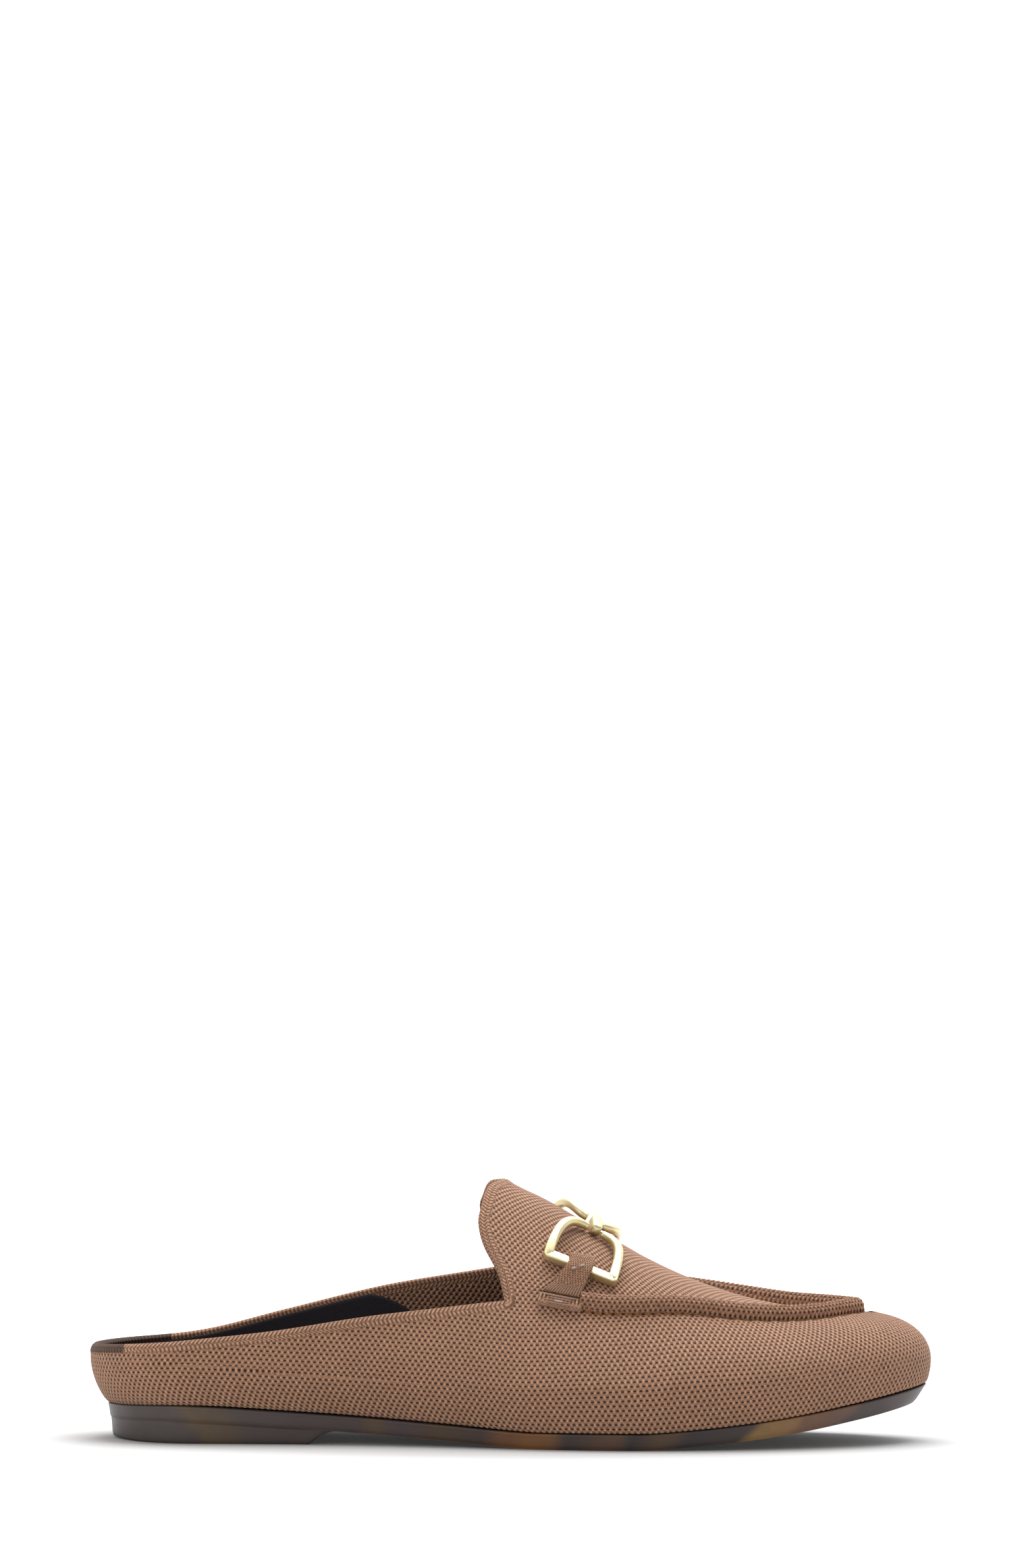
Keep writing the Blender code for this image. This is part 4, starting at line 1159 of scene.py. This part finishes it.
girth = np.linspace(-LINK_LENGTH / 2, LINK_LENGTH / 2, LINK_PLACES)
path, up = on_vamp(np.full(LINK_PLACES, BIT_X), girth - BIT_SHIFT)
swell = 1 - 0.16 * smooth(0.62, 1.0, np.abs(girth) / (LINK_LENGTH / 2)) ** 2
section = bar_outline(LINK_WIDTH, LINK_THICK, 0.0008, 6)[None] - (0, LINK_THICK / 2)
section = section * swell[:, None, None] + (0, LINK_THICK / 2 + GAP)
link_points, link_quads = carried(path, across_path(path, up), up, section)
link = welded_piece("gold_link", link_points, link_quads, gold, "metal")
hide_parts("ring_link")
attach(link, "root")

# %% [markdown]
# ## Keepers
#
# A knitted strap holds each ring: it comes up from a small pad at the end of the raised
# seam and folds over the bar. Grey stitches go through it and its pad, and long brown threads
# lie over its foot and along the pad. The strap is a flat bar carried along its own bent
# line, and each thread is a thin oval carried along a line that lies on the cloth.

# %% Strap and pad
KEEPER_WIDTH, KEEPER_THICK, FLARE_SHARE = 0.0078, 0.0015, 0.55
PAD_THICK = 0.0018
INNER_SPARE = 0.0016   # the inner bar lies a little askew under its strap


def pad_way(side, x):
    """Signed way of the pad's middle line, which lies below the raised seam's own."""
    ways = []
    for place in np.atleast_1d(x):
        known, run = girth_run(place)
        seam = np.interp(side * seam_place(side, place)[1], known, run)
        ways.append(np.interp(seam + side * PAD_DROP, run, known))
    return np.array(ways)


def keeper_line(side):
    """Middle line of a strap, with its width direction and the way out of its face."""
    middle = GAP + KEEPER_THICK / 2
    spare = 2.6 * GAP if side == LATERAL else INNER_SPARE
    over = spare + RING_THICK + KEEPER_THICK / 2
    clear = RING_BAND / 2 + spare + KEEPER_THICK / 2
    known, distances = girth_run(PAD_MIDDLE)
    pad_girth = abs(np.interp(pad_way(side, PAD_MIDDLE)[0], known, distances) + BIT_SHIFT)
    drop = pad_girth - BIT_HALF - PAD_WIDTH / 2 - 2 * GAP
    run = np.array((-drop, -2.6 * clear, -1.6 * clear, -0.9 * clear, 0.0,
                    0.7 * clear, 1.05 * clear, 1.1 * clear))
    lift = np.array((middle, 1.3 * middle, 0.72 * over, 0.99 * over, 1.04 * over,
                     over, 0.74 * over, middle))
    steps = np.concatenate([[0], np.cumsum(np.hypot(np.diff(run), np.diff(lift)))])
    fine = np.linspace(0, steps[-1], 61)
    run, lift = curve(steps, run, fine), curve(steps, lift, fine)
    down = np.clip(-run / drop, 0, 1)
    points, up = on_vamp(BIT_X - BIT_SKEW - KEEPER_LEAN * down ** 1.2,
                         side * (BIT_HALF - run) - BIT_SHIFT)
    line = points + up * lift[:, None]
    ends = PAD_MIDDLE + np.array((-PAD_LENGTH / 2, PAD_LENGTH / 2))
    edge = np.diff(vamp_point(ends, pad_way(side, ends)), axis=0)
    level = np.array([[1.0, 0, 0]]) - up * up[:, :1]
    forward = unit(unit(level) * (1 - down[:, None]) + unit(edge) * down[:, None])
    along = unit(np.gradient(line, axis=0))
    outward = unit(np.cross(forward, along)) * -side
    return line, forward * -side, outward, down, along


def thread_material(title, dark, pale):
    """Twisted sewing thread: fine fibres in two shades, with a small bump."""
    made, tree, shader, place = new_material(title, Roughness=0.7, Sheen_Weight=0.1)
    fibre = noise(tree, place, 3500.0)
    dress(tree, shader, mixed(tree, fibre, linear(dark), linear(pale)), fibre, 0.4, 0.0001)
    return made


THREAD_SIDES = 10


def threads(name, material, paths, ups, half_wide, half_tall):
    """Many short threads as one piece: each is a flat oval, thinner at its two ends."""
    turns = np.linspace(0, 2 * math.pi, THREAD_SIDES, endpoint=False)
    oval = np.stack([half_wide * np.cos(turns), half_tall * np.sin(turns)], -1)
    all_points, all_quads, start = [], [], 0
    for path, up in zip(paths, ups):
        taper = np.sqrt(1 - 0.85 * np.abs(np.linspace(-1, 1, len(path))) ** 6)
        section = oval[None] * taper[:, None, None]
        points, quads = carried(path, across_path(path, up), up, section)
        first, index = weld(points)
        all_points.append(points[first])
        all_quads.append(index[quads] + start)
        start += len(first)
    return mesh_piece(name, np.concatenate(all_points), np.concatenate(all_quads), material)


THREAD_LIFT = 0.00012
PAD_PLACES = 60
brown_thread = thread_material("brown_sewing_thread", "#4d301f", "#a97f64")
grey_thread = thread_material("grey_sewing_thread", "#7d6e64", "#b3a59a")
for side in (LATERAL, MEDIAL):
    line, forward, outward, down, along = keeper_line(side)
    face = line + outward * (KEEPER_THICK / 2 + THREAD_LIFT)
    width = KEEPER_WIDTH * (1 + FLARE_SHARE * down ** 2)
    flat = bar_outline(1.0, 1.0, 0.3, 5) - (0, 0.5)
    rounded = flat[None] * np.stack([width, np.full(len(width), KEEPER_THICK)], 1)[:, None]
    points, quads = carried(line, forward, outward, rounded)
    run = np.concatenate([[0], run_along(line), [run_along(line)[-1]]])
    girth_map = rounded[0, :, 0] * 1000
    strap_map = np.stack(np.broadcast_arrays(girth_map[None], run[:, None]), -1).reshape(-1, 2)
    title = "keeper_" + worn_side(side)
    strap = welded_piece("knitted_" + title, points, quads, tape_yarn, "knit_trim", strap_map)
    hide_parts(title)
    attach(strap, "root")
    foot = np.flatnonzero(down > 0.62)
    wraps, wrap_ups = [], []
    for k, offset in enumerate(np.linspace(-0.44, 0.44, 14)):
        part = foot[: len(foot) - (k * 5) % 4]
        shift = offset * KEEPER_WIDTH * (1 + FLARE_SHARE * down[part] ** 2)
        wraps.append(face[part] + forward[part] * shift[:, None])
        wrap_ups.append(outward[part])
    wrap = threads(title + "_foot_threads", brown_thread, wraps, wrap_ups, 0.00028, 0.00022)
    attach(wrap, "root")
    middle = [int(np.argmin(np.abs(down - at))) for at in (0.20, 0.27)]
    grey, grey_ups = [], []
    for centre, shift, half in zip(middle, (0.0006, -0.0013), (0.0008, 0.00065)):
        reach = np.linspace(-half, half, 9)[:, None]
        slanted = forward[centre] * 0.92 - along[centre] * 0.38 * side
        grey.append(face[centre] + forward[centre] * shift + slanted * reach
                    + outward[centre] * THREAD_LIFT)
        grey_ups.append(np.repeat(outward[centre][None], 9, 0))

    x = PAD_MIDDLE + np.linspace(-PAD_LENGTH / 2, PAD_LENGTH / 2, PAD_PLACES)
    way = pad_way(side, x)
    path, up = vamp_point(x, way), vamp_up(x, way)
    share = np.abs(np.linspace(-1, 1, PAD_PLACES))
    taper = np.sqrt(1 - np.clip((share - 0.9) / 0.1, 0, 1) ** 2 * 0.75)
    pad_section = np.array([bar_outline(PAD_WIDTH * t, PAD_THICK * t, 0.0007 * t, 5)
                            for t in taper]) + (0, GAP)
    points, quads = carried(path, across_path(path, up), up, pad_section)
    rows = np.arange(pad_section.shape[1])
    run = run_along(path)
    run = np.concatenate([[0], run, run[-1:]])
    pad_map = np.stack(np.broadcast_arrays(run[:, None], rows[None] * 0.45),
                       -1).reshape(-1, 2)
    title = "keeper_pad_" + worn_side(side)
    pad = welded_piece("knitted_" + title, points, quads, tape_yarn, "knit_trim", pad_map)
    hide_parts(title)
    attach(pad, "root")
    across = across_path(path, up)
    top = path + up * (GAP + PAD_THICK + 0.0001)
    longs, long_ups = [], []
    for k, offset in enumerate(np.linspace(-0.3, 0.3, 4)):
        part = slice(8 + 5 * (k % 2), 50 - 4 * (k % 3))
        longs.append(top[part] + across[part] * offset * PAD_WIDTH)
        long_ups.append(up[part])
    wrap = threads(title + "_threads", brown_thread, longs, long_ups, 0.0003, 0.00022)
    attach(wrap, "root")
    grey.append(top[22:34] + up[22:34] * 0.0002 + across[22:34] * 0.12 * PAD_WIDTH)
    grey_ups.append(up[22:34])
    stitches = threads(title + "_grey_stitches", grey_thread, grey, grey_ups, 0.00034, 0.00024)
    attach(stitches, "root")

# %% [markdown]
# ## Floor, light and camera
#
# The shoe stands on a white sweep, lit by a large soft light above, a weaker one from the
# front left and a pale room. The paper shines by itself, hardly at all near the shoe, because
# it is plain white in the photo but for a soft shade round the sole. The camera is a long
# lens, a little above the floor, turned up a few degrees, so the shoe stands in the lower
# part of the upright picture.

# %% Floor and light
white, tree, shader, place = new_material("white_paper_sweep", Roughness=0.9,
                                          Base_Color=(0.5, 0.5, 0.5, 1),
                                          Emission_Color=(1, 1, 1, 1))
oval = add(tree, "ShaderNodeVectorMath", [place, (0.55, 1.0, 1.0)], operation="MULTIPLY")
apart = add(tree, "ShaderNodeVectorMath", [oval], operation="LENGTH", out="Value")
tree.links.new(spread(tree, apart, 0.062, 0.17, 0.03), shader.inputs["Emission Strength"])
BEND_AT, BEND_RADIUS = 1.2, 0.9
bend = np.linspace(0, math.pi / 2, 25)
curved = np.stack([BEND_AT + BEND_RADIUS * np.sin(bend), BEND_RADIUS * (1 - np.cos(bend))], 1)
profile = np.concatenate([[(-2.6, 0.0)], curved, [(BEND_AT + BEND_RADIUS, 3.0)]])
wide = np.array([-4.0, 4.0])
sweep_points = np.stack([np.repeat(wide, len(profile)), np.tile(profile[:, 0], 2),
                         np.tile(profile[:, 1], 2)], 1)
sweep = mesh_piece("paper_sweep", sweep_points, grid_quads(2, len(profile)), white)

world = bpy.data.worlds.new("pale_room")
bpy.context.scene.world = world
world.use_nodes = True
background = world.node_tree.nodes["Background"].inputs
background["Color"].default_value = (1, 1, 1, 1)
background["Strength"].default_value = 0.45

LIGHTS = (
    # name, place, size, power, aimed at
    ("top_softbox", (0.1, 0.25, 1.0), 0.9, 17.0, (0.0, 0.0, 0.02)),
    ("front_softbox", (-1.0, -1.1, 0.6), 0.8, 4.0, (0.0, 0.0, 0.03)),
)
for title, spot, size, power, aim in LIGHTS:
    lamp = bpy.data.lights.new(title, "AREA")
    lamp.size = size
    lamp.energy = power
    holder = bpy.data.objects.new(title, lamp)
    away = np.array(spot) - np.array(aim)
    holder.location = spot
    holder.rotation_euler = (math.atan2(math.hypot(*away[:2]), away[2]), 0,
                             math.atan2(away[0], -away[1]))
    bpy.context.scene.collection.objects.link(holder)
print("lights", len(LIGHTS))

# %% Camera
PITCH, ROLL = math.radians(4.275), math.radians(0.3)
AWAY, RAISED = 1.3, math.radians(3)      # distance from the shoe, and angle above it
camera_data = bpy.data.cameras.new("studio_camera")
camera_data.sensor_fit = "VERTICAL"
camera_data.sensor_height = 36.0
camera_data.lens = 96.85
ahead = np.array([0, math.cos(PITCH), math.sin(PITCH)])
right = np.array([1.0, 0, 0])
raised = np.cross(right, ahead)
columns = np.stack([math.cos(ROLL) * right + math.sin(ROLL) * raised,
                    -math.sin(ROLL) * right + math.cos(ROLL) * raised, -ahead], 1)
camera = bpy.data.objects.new("studio_camera", camera_data)
bpy.context.scene.collection.objects.link(camera)
turn = Matrix(columns.tolist()).to_4x4()
eye = (-0.001, SIDE_SHIFT - AWAY * math.cos(RAISED), 0.035 + AWAY * math.sin(RAISED))
camera.matrix_world = Matrix.Translation(eye) @ turn
bpy.context.scene.camera = camera
bpy.context.scene.view_settings.view_transform = "Standard"
